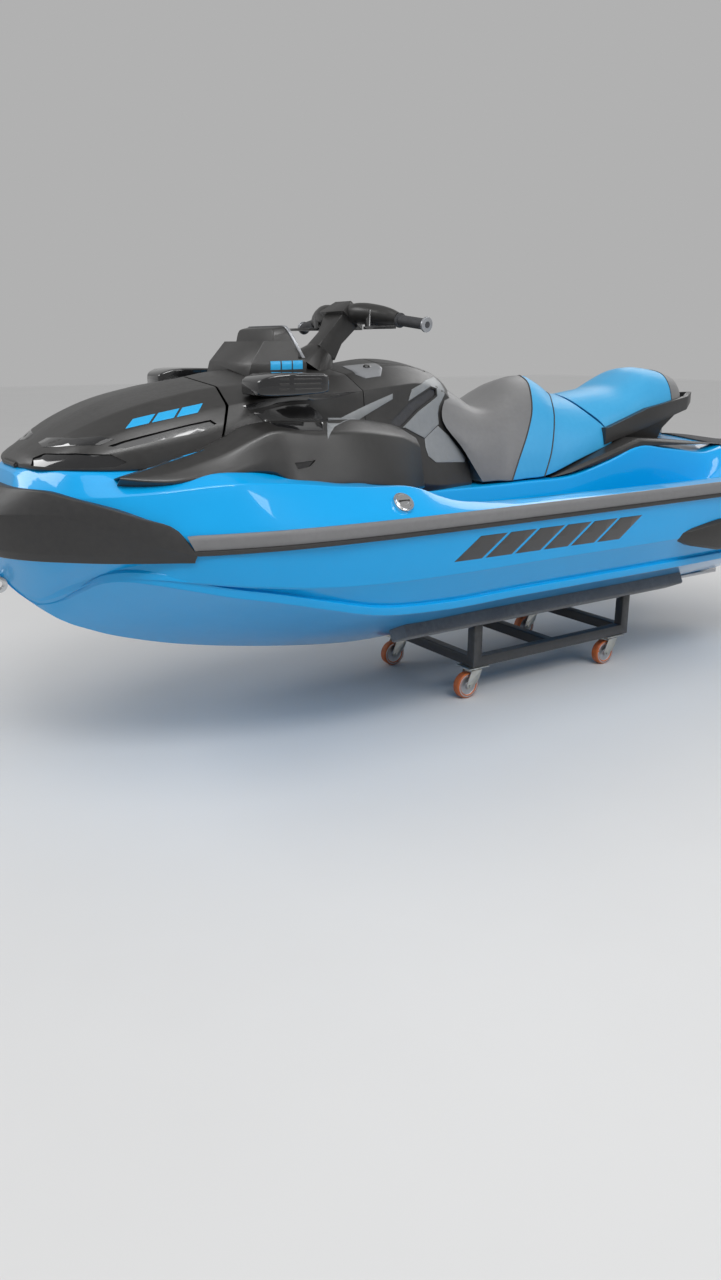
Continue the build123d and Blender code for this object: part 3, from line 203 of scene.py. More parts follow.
def thickened(obj, wall):
    """Gives a skin its wall, inwards."""
    solid = obj.modifiers.new("wall", "SOLIDIFY")
    solid.thickness = wall
    solid.offset = -1.0
    settle(obj)


def carved(obj, cutters):
    for cutter in cutters:
        cut = obj.modifiers.new("cut", "BOOLEAN")
        cut.operation = "DIFFERENCE"
        cut.solver = "EXACT"
        cut.object = cutter
    settle(obj)
    for cutter in cutters:
        bpy.data.objects.remove(cutter)


def cropped(obj, point, out):
    """Takes off what lies beyond a plane and closes the cut."""
    bm = bmesh.new()
    bm.from_mesh(obj.data)
    cut = bmesh.ops.bisect_plane(bm, geom=bm.verts[:] + bm.edges[:] + bm.faces[:], dist=1e-5, plane_co=point,
                                 plane_no=out, clear_outer=True)
    edges = [g for g in cut["geom_cut"] if isinstance(g, bmesh.types.BMEdge)]
    bmesh.ops.triangle_fill(bm, edges=edges, use_beauty=True, normal=out)
    bm.to_mesh(obj.data)
    bm.free()


def eased(obj, width, angle=30.0, segments=2):
    """A small round on every sharp edge."""
    bevel = obj.modifiers.new("ease", "BEVEL")
    bevel.width = width
    bevel.segments = segments
    bevel.limit_method = "ANGLE"
    bevel.angle_limit = math.radians(angle)
    bevel.harden_normals = False
    settle(obj)


def place(obj, body, slot, *materials, replaces=(), angle=32.0):
    """Shades a piece, gives it its finish and hangs it on its body."""
    mesh = obj.data
    mesh.polygons.foreach_set("use_smooth", [True] * len(mesh.polygons))
    mesh.set_sharp_from_angle(angle=math.radians(angle))
    if not mesh.materials:
        for material in materials:
            mesh.materials.append(material)
    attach(obj, body)
    if replaces:
        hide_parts(*replaces)
    return obj


def host_tree(*objects):
    """A tree of the outer faces of pieces, for laying inlays on them."""
    verts, faces = [], []
    for obj in objects:
        start = len(verts)
        verts += [v.co.copy() for v in obj.data.vertices]
        faces += [[start + i for i in p.vertices] for p in obj.data.polygons]
    return BVHTree.FromPolygons(verts, faces)


def inlay(name, tree, outline, towards, low, high, grid=0.02, start=2.0):
    """A plate that follows a skin, from low to high above it. The outline is seen along towards."""
    towards = Vector(towards).normalized()
    bm = bmesh.new()
    ring = [bm.verts.new(Vector(p)) for p in outline]
    bm.faces.new(ring)
    across = Vector((1, 0, 0)) if abs(towards.x) < 0.9 else Vector((0, 1, 0))
    up = towards.cross(across).normalized()
    for axis in (across, up):
        reach = [v.co.dot(axis) for v in bm.verts]
        steps = int((max(reach) - min(reach)) / grid)
        for k in range(1, steps + 1):
            point = axis * (min(reach) + k * (max(reach) - min(reach)) / (steps + 1))
            bmesh.ops.bisect_plane(bm, geom=bm.verts[:] + bm.edges[:] + bm.faces[:], plane_co=point,
                                   plane_no=axis)
    for v in bm.verts:
        hit = tree.ray_cast(v.co - towards * start, towards)[0]
        if hit is None:
            hit = tree.find_nearest(v.co)[0]
        v.co = hit
    top = bmesh.ops.duplicate(bm, geom=bm.verts[:] + bm.edges[:] + bm.faces[:])
    upper = [g for g in top["geom"] if isinstance(g, bmesh.types.BMVert)]
    pairs = {v: top["vert_map"][v] for v in bm.verts if v in top["vert_map"] and v not in upper}
    rim = [e for e in bm.edges if e.is_boundary and e.verts[0] in pairs and e.verts[1] in pairs]
    for v, twin in pairs.items():
        twin.co = v.co - towards * high
    for e in rim:
        a, b = e.verts
        bm.faces.new((a, b, pairs[b], pairs[a]))
    for v in pairs:
        v.co -= towards * low
    return as_object(bm, name, weld=1e-6)


def both_sides(obj):
    """Adds the starboard twin of a port piece."""
    bm = bmesh.new()
    bm.from_mesh(obj.data)
    mirrored(bm)
    bm.to_mesh(obj.data)
    bm.free()
    return obj


def grown(outline, by):
    """The same outline, each point moved away from the middle."""
    points = [Vector(p) for p in outline]
    middle = sum(points, Vector()) / len(points)
    return [p + (p - middle).normalized() * by for p in points]


def plate(name, host, outline, towards, body, slot, material, low=-0.001, high=0.0015, grid=0.02):
    """A thin moulding laid on a skin, on both sides of the craft."""
    obj = both_sides(inlay(name, host, outline, towards, low, high, grid))
    eased(obj, 0.0005, angle=40.0)
    return place(obj, body, slot, material)


def pocket(name, skin_obj, outline, towards, body, slot, material, depth=0.007):
    """A window through a skin with a moulding set behind it, on both sides of the craft."""
    tree = host_tree(skin_obj)
    back = both_sides(inlay(name, tree, grown(outline, 0.004), towards, -depth - 0.003, -depth))
    place(back, body, slot, material)
    carved(skin_obj, [both_sides(inlay("cutter", tree, outline, towards, -0.03, 0.03))])
    return back


def tube(name, line, radius, sides=12, closed=False, squash=1.0):
    """A round bar along a line of points."""
    bm = bmesh.new()
    tube_into(bm, line, radius, sides, closed, squash)
    return as_object(bm, name, weld=1e-6)


def tube_into(bm, line, radius, sides=12, closed=False, squash=1.0):
    line = [Vector(p) for p in line]
    count = len(line)
    normal = None
    rings = []
    for i, p in enumerate(line):
        ahead = line[(i + 1) % count] if closed or i < count - 1 else p
        behind = line[i - 1] if closed or i > 0 else p
        run = (ahead - behind).normalized()
        if normal is None:
            normal = run.orthogonal().normalized()
        normal = (normal - run * normal.dot(run)).normalized()
        side = run.cross(normal)
        r = radius(i / (count - 1)) if callable(radius) else radius
        rings.append([p + (normal * math.cos(a) + side * math.sin(a) * squash) * r
                      for a in (2 * math.pi * k / sides for k in range(sides))])
    verts, _ = woven(bm, rings + ([rings[0]] if closed else []), closed_ring=True)
    if not closed:
        cap(bm, verts[0])
        cap(bm, list(reversed(verts[-1])))


def turned(name, profile, origin, axis, sides=40):
    """A turned form: profile rows of (distance along the axis, radius)."""
    bm = bmesh.new()
    turned_into(bm, profile, origin, axis, sides)
    return as_object(bm, name, weld=1e-6)


def turned_into(bm, profile, origin, axis, sides=40):
    origin, axis = Vector(origin), Vector(axis).normalized()
    side = axis.orthogonal().normalized()
    up = axis.cross(side)
    rings = []
    for along, radius in profile:
        rings.append([origin + axis * along + (side * math.cos(a) + up * math.sin(a)) * radius
                      for a in (2 * math.pi * k / sides for k in range(sides))])
    verts, _ = woven(bm, rings, closed_ring=True)
    cap(bm, verts[0])
    cap(bm, list(reversed(verts[-1])))


def block_into(bm, low, high):
    corners = [Vector((x, y, z)) for x in (low[0], high[0]) for y in (low[1], high[1]) for z in (low[2], high[2])]
    v = [bm.verts.new(c) for c in corners]
    for ids in ((0, 1, 3, 2), (4, 6, 7, 5), (0, 4, 5, 1), (2, 3, 7, 6), (0, 2, 6, 4), (1, 5, 7, 3)):
        bm.faces.new([v[i] for i in ids])


def cutter_block(low, high, round_by=0.0):
    bm = bmesh.new()
    block_into(bm, low, high)
    if round_by:
        bmesh.ops.bevel(bm, geom=bm.edges[:], offset=round_by, segments=4, profile=0.5, affect="EDGES")
    return as_object(bm, "cutter")


def skin(name, rows, softness, spacing=0.03, straights=2, bends=3, wall=None, both=True, ends=(False, False)):
    """A smooth shell through rows of control points on the port side, with its mirror image."""
    bm = bmesh.new()
    lines = [rounded(row, softness, straights, bends) for row in stations(rows, spacing)]
    verts, _ = woven(bm, lines)
    if ends[0]:
        cap(bm, verts[0])
    if ends[1]:
        cap(bm, list(reversed(verts[-1])))
    if both:
        mirrored(bm)
    obj = as_object(bm, name)
    if wall:
        thickened(obj, wall)
    return obj


def softened(node, width, slot, material, name=None, angle=32.0):
    """A node's own form with its sharp edges eased."""
    source = NODES[node]
    bm = bmesh.new()
    bm.from_mesh(source.data)
    bmesh.ops.remove_doubles(bm, verts=bm.verts, dist=3e-5)
    bmesh.ops.dissolve_limit(bm, angle_limit=math.radians(1.5), verts=bm.verts, edges=bm.edges)
    obj = as_object(bm, name or f"{node}_part")
    eased(obj, width, angle=28.0)
    return place(obj, source["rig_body"], slot, material, replaces=(node,), angle=angle)


# Shader node groups

def group(name, inputs, outputs):
    tree = bpy.data.node_groups.new(name, "ShaderNodeTree")
    for label, kind, value in inputs:
        socket = tree.interface.new_socket(name=label, in_out="INPUT", socket_type=kind)
        socket.default_value = value
    for label, kind in outputs:
        tree.interface.new_socket(name=label, in_out="OUTPUT", socket_type=kind)
    return tree, tree.nodes.new("NodeGroupInput"), tree.nodes.new("NodeGroupOutput")


def add(tree, kind, **values):
    node = tree.nodes.new(kind)
    for key, value in values.items():
        setattr(node, key, value)
    return node


def math_node(tree, operation, a, b=None, clamp=False):
    node = add(tree, "ShaderNodeMath", operation=operation, use_clamp=clamp)
    for socket, value in zip(node.inputs, (a, b)):
        if value is None:
            continue
        if isinstance(value, bpy.types.NodeSocket):
            tree.links.new(value, socket)
        else:
            socket.default_value = value
    return node.outputs[0]


def noise(tree, vector, scale, detail=2.0, roughness=0.5):
    node = add(tree, "ShaderNodeTexNoise")
    tree.links.new(vector, node.inputs["Vector"])
    node.inputs["Detail"].default_value = detail
    node.inputs["Roughness"].default_value = roughness
    if isinstance(scale, bpy.types.NodeSocket):
        tree.links.new(scale, node.inputs["Scale"])
    else:
        node.inputs["Scale"].default_value = scale
    return node.outputs["Fac"]


def scuff_group():
    """Cloudy handling marks: a mask that is mostly low, with soft patches."""
    tree, given, out = group(
        "handling_marks", [("Scale", "NodeSocketFloat", 3.0), ("Grain", "NodeSocketFloat", 60.0)],
        [("Mask", "NodeSocketFloat")])
    coord = add(tree, "ShaderNodeTexCoord")
    broad = noise(tree, coord.outputs["Object"], given.outputs["Scale"], 4.0, 0.6)
    fine = noise(tree, coord.outputs["Object"], given.outputs["Grain"], 3.0, 0.6)
    mixed = math_node(tree, "MULTIPLY", broad, fine)
    lifted = math_node(tree, "MULTIPLY_ADD", mixed, 2.6)
    lifted.node.inputs[2].default_value = -0.25
    lifted.node.use_clamp = True
    tree.links.new(lifted, out.inputs["Mask"])
    return tree


def grain_group():
    """Moulded grain: small pebbles over a broad drift."""
    tree, given, out = group("moulded_grain", [("Scale", "NodeSocketFloat", 900.0)], [("Height", "NodeSocketFloat")])
    coord = add(tree, "ShaderNodeTexCoord")
    cells = add(tree, "ShaderNodeTexVoronoi")
    tree.links.new(coord.outputs["Object"], cells.inputs["Vector"])
    tree.links.new(given.outputs["Scale"], cells.inputs["Scale"])
    small = noise(tree, coord.outputs["Object"], given.outputs["Scale"], 2.0, 0.5)
    tree.links.new(math_node(tree, "ADD", cells.outputs["Distance"], small), out.inputs["Height"])
    return tree


def leather_group():
    """Leather grain of stretched cells with fine creases between them."""
    tree, given, out = group("vinyl_grain", [("Scale", "NodeSocketFloat", 420.0)], [("Height", "NodeSocketFloat")])
    coord = add(tree, "ShaderNodeTexCoord")
    warp = noise(tree, coord.outputs["Object"], 30.0, 2.0, 0.5)
    cells = add(tree, "ShaderNodeTexVoronoi", feature="DISTANCE_TO_EDGE")
    tree.links.new(coord.outputs["Object"], cells.inputs["Vector"])
    tree.links.new(given.outputs["Scale"], cells.inputs["Scale"])
    crease = math_node(tree, "MINIMUM", cells.outputs["Distance"], 0.12)
    total = math_node(tree, "ADD", crease, math_node(tree, "MULTIPLY", warp, 0.04))
    tree.links.new(total, out.inputs["Height"])
    return tree


def rub_group():
    """Worn edges: a mask that is high along outer corners, broken up by noise."""
    tree, given, out = group("edge_rub", [("Width", "NodeSocketFloat", 0.52)], [("Mask", "NodeSocketFloat")])
    shape = add(tree, "ShaderNodeNewGeometry")
    coord = add(tree, "ShaderNodeTexCoord")
    ramp = math_node(tree, "SUBTRACT", shape.outputs["Pointiness"], given.outputs["Width"])
    edge = math_node(tree, "MULTIPLY", ramp, 14.0, clamp=True)
    broken = noise(tree, coord.outputs["Object"], 45.0, 3.0, 0.6)
    tree.links.new(math_node(tree, "MULTIPLY", edge, broken, clamp=True), out.inputs["Mask"])
    return tree


def weave_group():
    """Cut-pile carpet: short tufts of mixed height."""
    tree, given, out = group("carpet_pile", [("Scale", "NodeSocketFloat", 500.0)],
                             [("Height", "NodeSocketFloat"), ("Mask", "NodeSocketFloat")])
    coord = add(tree, "ShaderNodeTexCoord")
    tufts = noise(tree, coord.outputs["Object"], given.outputs["Scale"], 4.0, 0.7)
    drift = noise(tree, coord.outputs["Object"], 12.0, 3.0, 0.6)
    tree.links.new(tufts, out.inputs["Height"])
    tree.links.new(math_node(tree, "MULTIPLY", tufts, drift), out.inputs["Mask"])
    return tree


MARKS = scuff_group()
GRAIN = grain_group()
VINYL = leather_group()
RUB = rub_group()
PILE = weave_group()


# Materials

class Finish:
    """One material under way: its shader and the effects that feed it."""

    def __init__(self, name, colour, roughness, metallic=0.0):
        self.material = bpy.data.materials.new(name)
        self.material.use_nodes = True
        self.tree = self.material.node_tree
        self.tree.nodes.clear()
        out = add(self.tree, "ShaderNodeOutputMaterial")
        self.shader = add(self.tree, "ShaderNodeBsdfPrincipled")
        self.tree.links.new(self.shader.outputs[0], out.inputs[0])
        self.set("Base Color", (*colour, 1.0))
        self.set("Roughness", roughness)
        self.set("Metallic", metallic)
        self.colour = (*colour, 1.0)
        self.roughness = roughness

    def set(self, socket, value):
        self.shader.inputs[socket].default_value = value
        return self

    def effect(self, tree, **values):
        node = add(self.tree, "ShaderNodeGroup", node_tree=tree)
        for key, value in values.items():
            node.inputs[key].default_value = value
        return node

    def tone(self, other, scale=3.0, grain=60.0):
        """The colour drifts towards another in cloudy patches."""
        return self.blend(other, self.effect(MARKS, Scale=scale, Grain=grain))

    def worn(self, other, width=0.53):
        """Edges rub through to another colour."""
        return self.blend(other, self.effect(RUB, Width=width))

    def blend(self, other, mask):
        mix = add(self.tree, "ShaderNodeMix", data_type="RGBA")
        source = self.shader.inputs["Base Color"]
        for socket in mix.inputs:
            if socket.name == "A" and socket.type == "RGBA":
                socket.default_value = self.colour
                if source.is_linked:
                    self.tree.links.new(source.links[0].from_socket, socket)
            if socket.name == "B" and socket.type == "RGBA":
                socket.default_value = (*other, 1.0)
        self.tree.links.new(mask.outputs["Mask"], mix.inputs["Factor"])
        self.tree.links.new([s for s in mix.outputs if s.type == "RGBA"][0], source)
        return self

    def smeared(self, low, high, scale=4.0, grain=60.0):
        """Roughness runs between two values with the handling marks."""
        marks = self.effect(MARKS, Scale=scale, Grain=grain)
        spread = add(self.tree, "ShaderNodeMapRange")
        spread.inputs["To Min"].default_value = low
        spread.inputs["To Max"].default_value = high
        self.tree.links.new(marks.outputs["Mask"], spread.inputs["Value"])
        self.tree.links.new(spread.outputs["Result"], self.shader.inputs["Roughness"])
        return self

    def bumped(self, tree, scale, strength, distance=0.001):
        source = self.effect(tree, Scale=scale)
        bump = add(self.tree, "ShaderNodeBump")
        bump.inputs["Strength"].default_value = strength
        bump.inputs["Distance"].default_value = distance
        self.tree.links.new(source.outputs["Height"], bump.inputs["Height"])
        self.tree.links.new(bump.outputs["Normal"], self.shader.inputs["Normal"])
        return self


def gelcoat():
    made = Finish("blue_gelcoat", (0.001, 0.335, 0.735), 0.32)
    made.tone((0.001, 0.355, 0.770), 1.5, 8.0).smeared(0.28, 0.34, 2.0, 10.0)
    made.set("Specular IOR Level", 0.15)
    return made.set("Coat Weight", 0.7).set("Coat Roughness", 0.03).material


def satin_black():
    made = Finish("satin_black_plastic", (0.020, 0.0195, 0.019), 0.36)
    made.tone((0.030, 0.029, 0.028), 3.0).smeared(0.30, 0.42).bumped(GRAIN, 1500.0, 0.08, 0.0004)
    return made.set("Specular IOR Level", 0.6).material


def gloss_black():
    made = Finish("gloss_black_plastic", (0.008, 0.008, 0.009), 0.10)
    made.tone((0.014, 0.014, 0.015), 4.0).smeared(0.06, 0.14)
    return made.set("Coat Weight", 1.0).set("Coat Roughness", 0.02).material


def silver_plastic():
    made = Finish("silver_painted_plastic", (0.30, 0.31, 0.33), 0.34, 0.5)
    made.tone((0.36, 0.37, 0.39), 3.0).smeared(0.28, 0.40)
    return made.set("Coat Weight", 0.4).material


def rail_grey():
    made = Finish("rail_grey_rubber", (0.150, 0.151, 0.155), 0.55)
    made.tone((0.180, 0.180, 0.185), 4.0).smeared(0.48, 0.62).bumped(GRAIN, 1200.0, 0.15, 0.0005)
    return made.material


def bumper_black():
    made = Finish("bumper_black_rubber", (0.024, 0.024, 0.025), 0.44)
    made.tone((0.036, 0.035, 0.034), 3.0).smeared(0.38, 0.50).bumped(GRAIN, 1200.0, 0.15, 0.0005)
    return made.material


def vinyl(name, colour, drift):
    made = Finish(name, colour, 0.42)
    made.tone(drift, 5.0).smeared(0.36, 0.50).bumped(VINYL, 420.0, 0.22, 0.0008)
    return made.set("Sheen Weight", 0.12).set("Sheen Roughness", 0.4).material


def foam_mat():
    made = Finish("black_foam_mat", (0.035, 0.036, 0.040), 0.75)
    made.tone((0.055, 0.056, 0.060), 6.0).bumped(PILE, 900.0, 0.4, 0.0006)
    return made.material


def cast_alloy():
    made = Finish("cast_alloy", (0.55, 0.56, 0.58), 0.42, 1.0)
    made.tone((0.42, 0.43, 0.45), 6.0).smeared(0.34, 0.55).bumped(GRAIN, 700.0, 0.2, 0.0005)
    return made.material


def bright_steel():
    made = Finish("bright_steel", (0.60, 0.61, 0.62), 0.22, 1.0)
    return made.tone((0.50, 0.51, 0.52), 8.0).smeared(0.16, 0.34).material


def zinc_plate():
    made = Finish("zinc_plate", (0.58, 0.57, 0.50), 0.34, 1.0)
    made.tone((0.42, 0.44, 0.46), 14.0).smeared(0.26, 0.50, 20.0)
    return made.worn((0.75, 0.75, 0.74)).material


def chrome():
    made = Finish("chrome_plate", (0.78, 0.79, 0.80), 0.08, 1.0)
    return made.tone((0.68, 0.69, 0.71), 6.0).smeared(0.05, 0.14).material


def powder_coat():
    made = Finish("black_powder_coat", (0.022, 0.023, 0.026), 0.42)
    made.tone((0.034, 0.035, 0.038), 5.0).smeared(0.36, 0.52).bumped(GRAIN, 1100.0, 0.12, 0.0004)
    return made.worn((0.12, 0.12, 0.12)).material


def carpet():
    made = Finish("grey_carpet", (0.070, 0.075, 0.085), 0.95)
    made.tone((0.13, 0.135, 0.145), 8.0).bumped(PILE, 420.0, 0.9, 0.003)
    return made.set("Sheen Weight", 0.3).set("Sheen Roughness", 0.6).material


def orange_tyre():
    made = Finish("orange_polyurethane", (0.52, 0.13, 0.03), 0.38)
    made.tone((0.36, 0.09, 0.03), 30.0).smeared(0.30, 0.50, 30.0)
    return made.set("Subsurface Weight", 0.05).material


def grip_rubber():
    made = Finish("grip_rubber", (0.030, 0.031, 0.034), 0.62)
    return made.tone((0.05, 0.05, 0.055), 10.0).bumped(GRAIN, 1400.0, 0.3, 0.0006).material


def dark_glass():
    made = Finish("dark_display_glass", (0.010, 0.012, 0.016), 0.05)
    return made.tone((0.018, 0.020, 0.026), 4.0).set("Coat Weight", 1.0).set("Coat Roughness", 0.02).material


def mirror_glass():
    made = Finish("mirror_glass", (0.70, 0.72, 0.74), 0.03, 1.0)
    return made.tone((0.62, 0.64, 0.66), 3.0).material


def cast_iron():
    made = Finish("cast_metal", (0.16, 0.16, 0.17), 0.55, 0.6)
    return made.tone((0.10, 0.10, 0.11), 6.0).bumped(GRAIN, 500.0, 0.3, 0.0008).material


def bar_blue():
    made = Finish("blue_lacquer", (0.012, 0.350, 0.700), 0.30)
    return made.tone((0.018, 0.380, 0.740), 4.0).smeared(0.26, 0.34).material


def grey_plastic():
    made = Finish("grey_plastic", (0.200, 0.212, 0.220), 0.40)
    made.tone((0.240, 0.252, 0.262), 3.0).smeared(0.34, 0.46).bumped(GRAIN, 1500.0, 0.08, 0.0004)
    return made.material


BLUE = gelcoat()
COWL_GREY = grey_plastic()
BAR_BLUE = bar_blue()
SATIN = satin_black()
GLOSS = gloss_black()
SILVER = silver_plastic()
RAIL = rail_grey()
BUMPER_BLACK = bumper_black()
SEAT_GREY = vinyl("grey_seat_vinyl", (0.150, 0.150, 0.152), (0.178, 0.178, 0.180))
SEAT_BLUE = vinyl("blue_seat_vinyl", (0.026, 0.315, 0.600), (0.038, 0.350, 0.640))
FOAM = foam_mat()
ALLOY = cast_alloy()
STEEL = bright_steel()
ZINC = zinc_plate()
CHROME = chrome()
POWDER = powder_coat()
CARPET = carpet()
ORANGE = orange_tyre()
GRIP = grip_rubber()
GLASS = dark_glass()
MIRROR_GLASS = mirror_glass()
IRON = cast_iron()


# Driving lines of the craft

BOND_Z = 0.757
RAIL_LOW, RAIL_HIGH = 0.731, 0.787
RAIL_DEPTH = 0.012
HALF_BEAM = 0.6275
STERN_X = -1.7255
TRANSOM_X = -1.470

# Half breadth at the rub rail: x, y
PLAN = [
    (1.7255, 0.062), (1.700, 0.120), (1.655, 0.210), (1.600, 0.285), (1.519, 0.358), (1.450, 0.414),
    (1.357, 0.474), (1.240, 0.530), (1.142, 0.559), (1.035, 0.584), (0.900, 0.602), (0.693, 0.617),
    (0.430, 0.625), (0.100, 0.6275), (-0.800, 0.6275), (-1.163, 0.614), (-1.400, 0.596), (-1.560, 0.570),
    (-1.660, 0.525), (-1.7255, 0.440),
]
PLAN_LINE = [Vector((p.x, min(p.y, HALF_BEAM), 0)) for p in smooth_line([(x, y, 0) for x, y in PLAN], 0.02)]


def rail_y(x):
    for a, b in zip(PLAN_LINE, PLAN_LINE[1:]):
        if b.x <= x <= a.x:
            return lerp(a.y, b.y, (a.x - x) / max(a.x - b.x, 1e-9))
    return PLAN_LINE[0].y if x > PLAN_LINE[0].x else PLAN_LINE[-1].y


def wall_y(x):
    return rail_y(x) - RAIL_DEPTH


# Hull: x, keel z, chine (y, z), side groove (y, z), knuckle (y, z)
HULL = [
    (1.697, 0.694, (0.006, 0.698), (0.009, 0.700), (0.014, 0.704)),
    (1.655, 0.632, (0.006, 0.636), (0.010, 0.639), (0.016, 0.643)),
    (1.605, 0.568, (0.007, 0.572), (0.011, 0.574), (0.017, 0.578)),
    (1.560, 0.524, (0.022, 0.534), (0.036, 0.545), (0.056, 0.560)),
    (1.519, 0.490, (0.062, 0.541), (0.092, 0.567), (0.120, 0.594)),
    (1.480, 0.463, (0.180, 0.590), (0.200, 0.612), (0.212, 0.632)),
    (1.450, 0.446, (0.286, 0.634), (0.290, 0.646), (0.298, 0.664)),
    (1.400, 0.423, (0.362, 0.646), (0.366, 0.662), (0.372, 0.694)),
    (1.357, 0.404, (0.408, 0.642), (0.414, 0.664), (0.424, 0.708)),
    (1.240, 0.364, (0.466, 0.616), (0.484, 0.650), (0.515, 0.720)),
    (1.142, 0.336, (0.486, 0.590), (0.510, 0.634), (0.545, 0.722)),
    (1.035, 0.311, (0.500, 0.566), (0.532, 0.620), (0.568, 0.723)),
    (0.860, 0.277, (0.510, 0.520), (0.552, 0.600), (0.586, 0.724)),
    (0.693, 0.250, (0.514, 0.478), (0.562, 0.590), (0.600, 0.724)),
    (0.430, 0.220, (0.508, 0.452), (0.572, 0.586), (0.608, 0.724)),
    (0.100, 0.220, (0.508, 0.452), (0.574, 0.586), (0.610, 0.724)),
    (-1.013, 0.220, (0.508, 0.452), (0.572, 0.586), (0.603, 0.724)),
    (-1.250, 0.220, (0.500, 0.452), (0.564, 0.588), (0.594, 0.724)),
    (TRANSOM_X, 0.220, (0.468, 0.452), (0.548, 0.590), (0.574, 0.724)),
]


def hull_row(x, keel, chine, groove, knuckle):
    wall = wall_y(x)
    full = min(1.0, chine[0] / 0.45)
    (cy, cz), (gy, gz), (ky, kz) = chine, groove, knuckle
    ky = min(ky, wall - 0.002)
    half = [
        (0, keel), (cy * 0.5, lerp(keel, cz, 0.47)), (cy, cz), (cy + 0.007 * full, cz + 0.004 * full),
        (cy + 0.014 * full, cz + 0.030 * full), (cy + 0.004 * full, cz + 0.035 * full),
        (cy + 0.010 * full, cz + 0.043 * full), (gy - 0.001, gz - 0.006 * full), (gy + 0.004 * full, gz),
        (ky, kz), (wall - 0.001, RAIL_LOW + 0.002), (wall, BOND_Z - 0.0005)]
    return [(x, y, z) for y, z in half]


HULL_SOFT = [0.12, 0.0015, 0.002, 0.002, 0.0015, 0.002, 0.003, 0.002, 0.004, 0.002, 0.0]


HULL_BARS = [(0.430, 0.605, 0.704), (-0.410, 0.605, 0.700), (-0.405, 0.590, 0.620), (0.435, 0.590, 0.628)]


def hull_moulding():
    hull = skin("hull_moulding", [hull_row(*row) for row in HULL], HULL_SOFT, spacing=0.035, straights=2,
                bends=2, wall=0.006, ends=(True, True))
    tunnel = cutter_block((-1.60, -0.112, 0.05), (-1.190, 0.112, 0.492), 0.0)
    recess = cutter_block((-1.60, -0.1455, 0.276), (-1.410, 0.1455, 0.5695), 0.0)
    bay = cutter_block((-1.60, -0.135, 0.05), (-1.190, 0.135, 0.276), 0.0)
    bm = bmesh.new()
    side = [(-0.930, 0.150), (-0.940, 0.300), (-1.120, 0.472), (-1.191, 0.472), (-1.191, 0.150)]
    woven(bm, [[Vector((x, y, z)) for x, z in side] for y in (-0.078, 0.078)], closed_ring=True)
    bmesh.ops.holes_fill(bm, edges=bm.edges[:])
    intake = as_object(bm, "cutter")
    tree = host_tree(hull)
    for k, outline in enumerate(slanted_bars(HULL_BARS, 6)):
        plate(f"hull_bar_{k}", tree, outline, (0, -1, 0), "root", "cowl_black", GLOSS, high=0.0008, grid=0.05)
    carved(hull, [tunnel, recess, bay, intake])
    return place(hull, "root", "hull_gelcoat", BLUE, replaces=("hull",), angle=24.0)


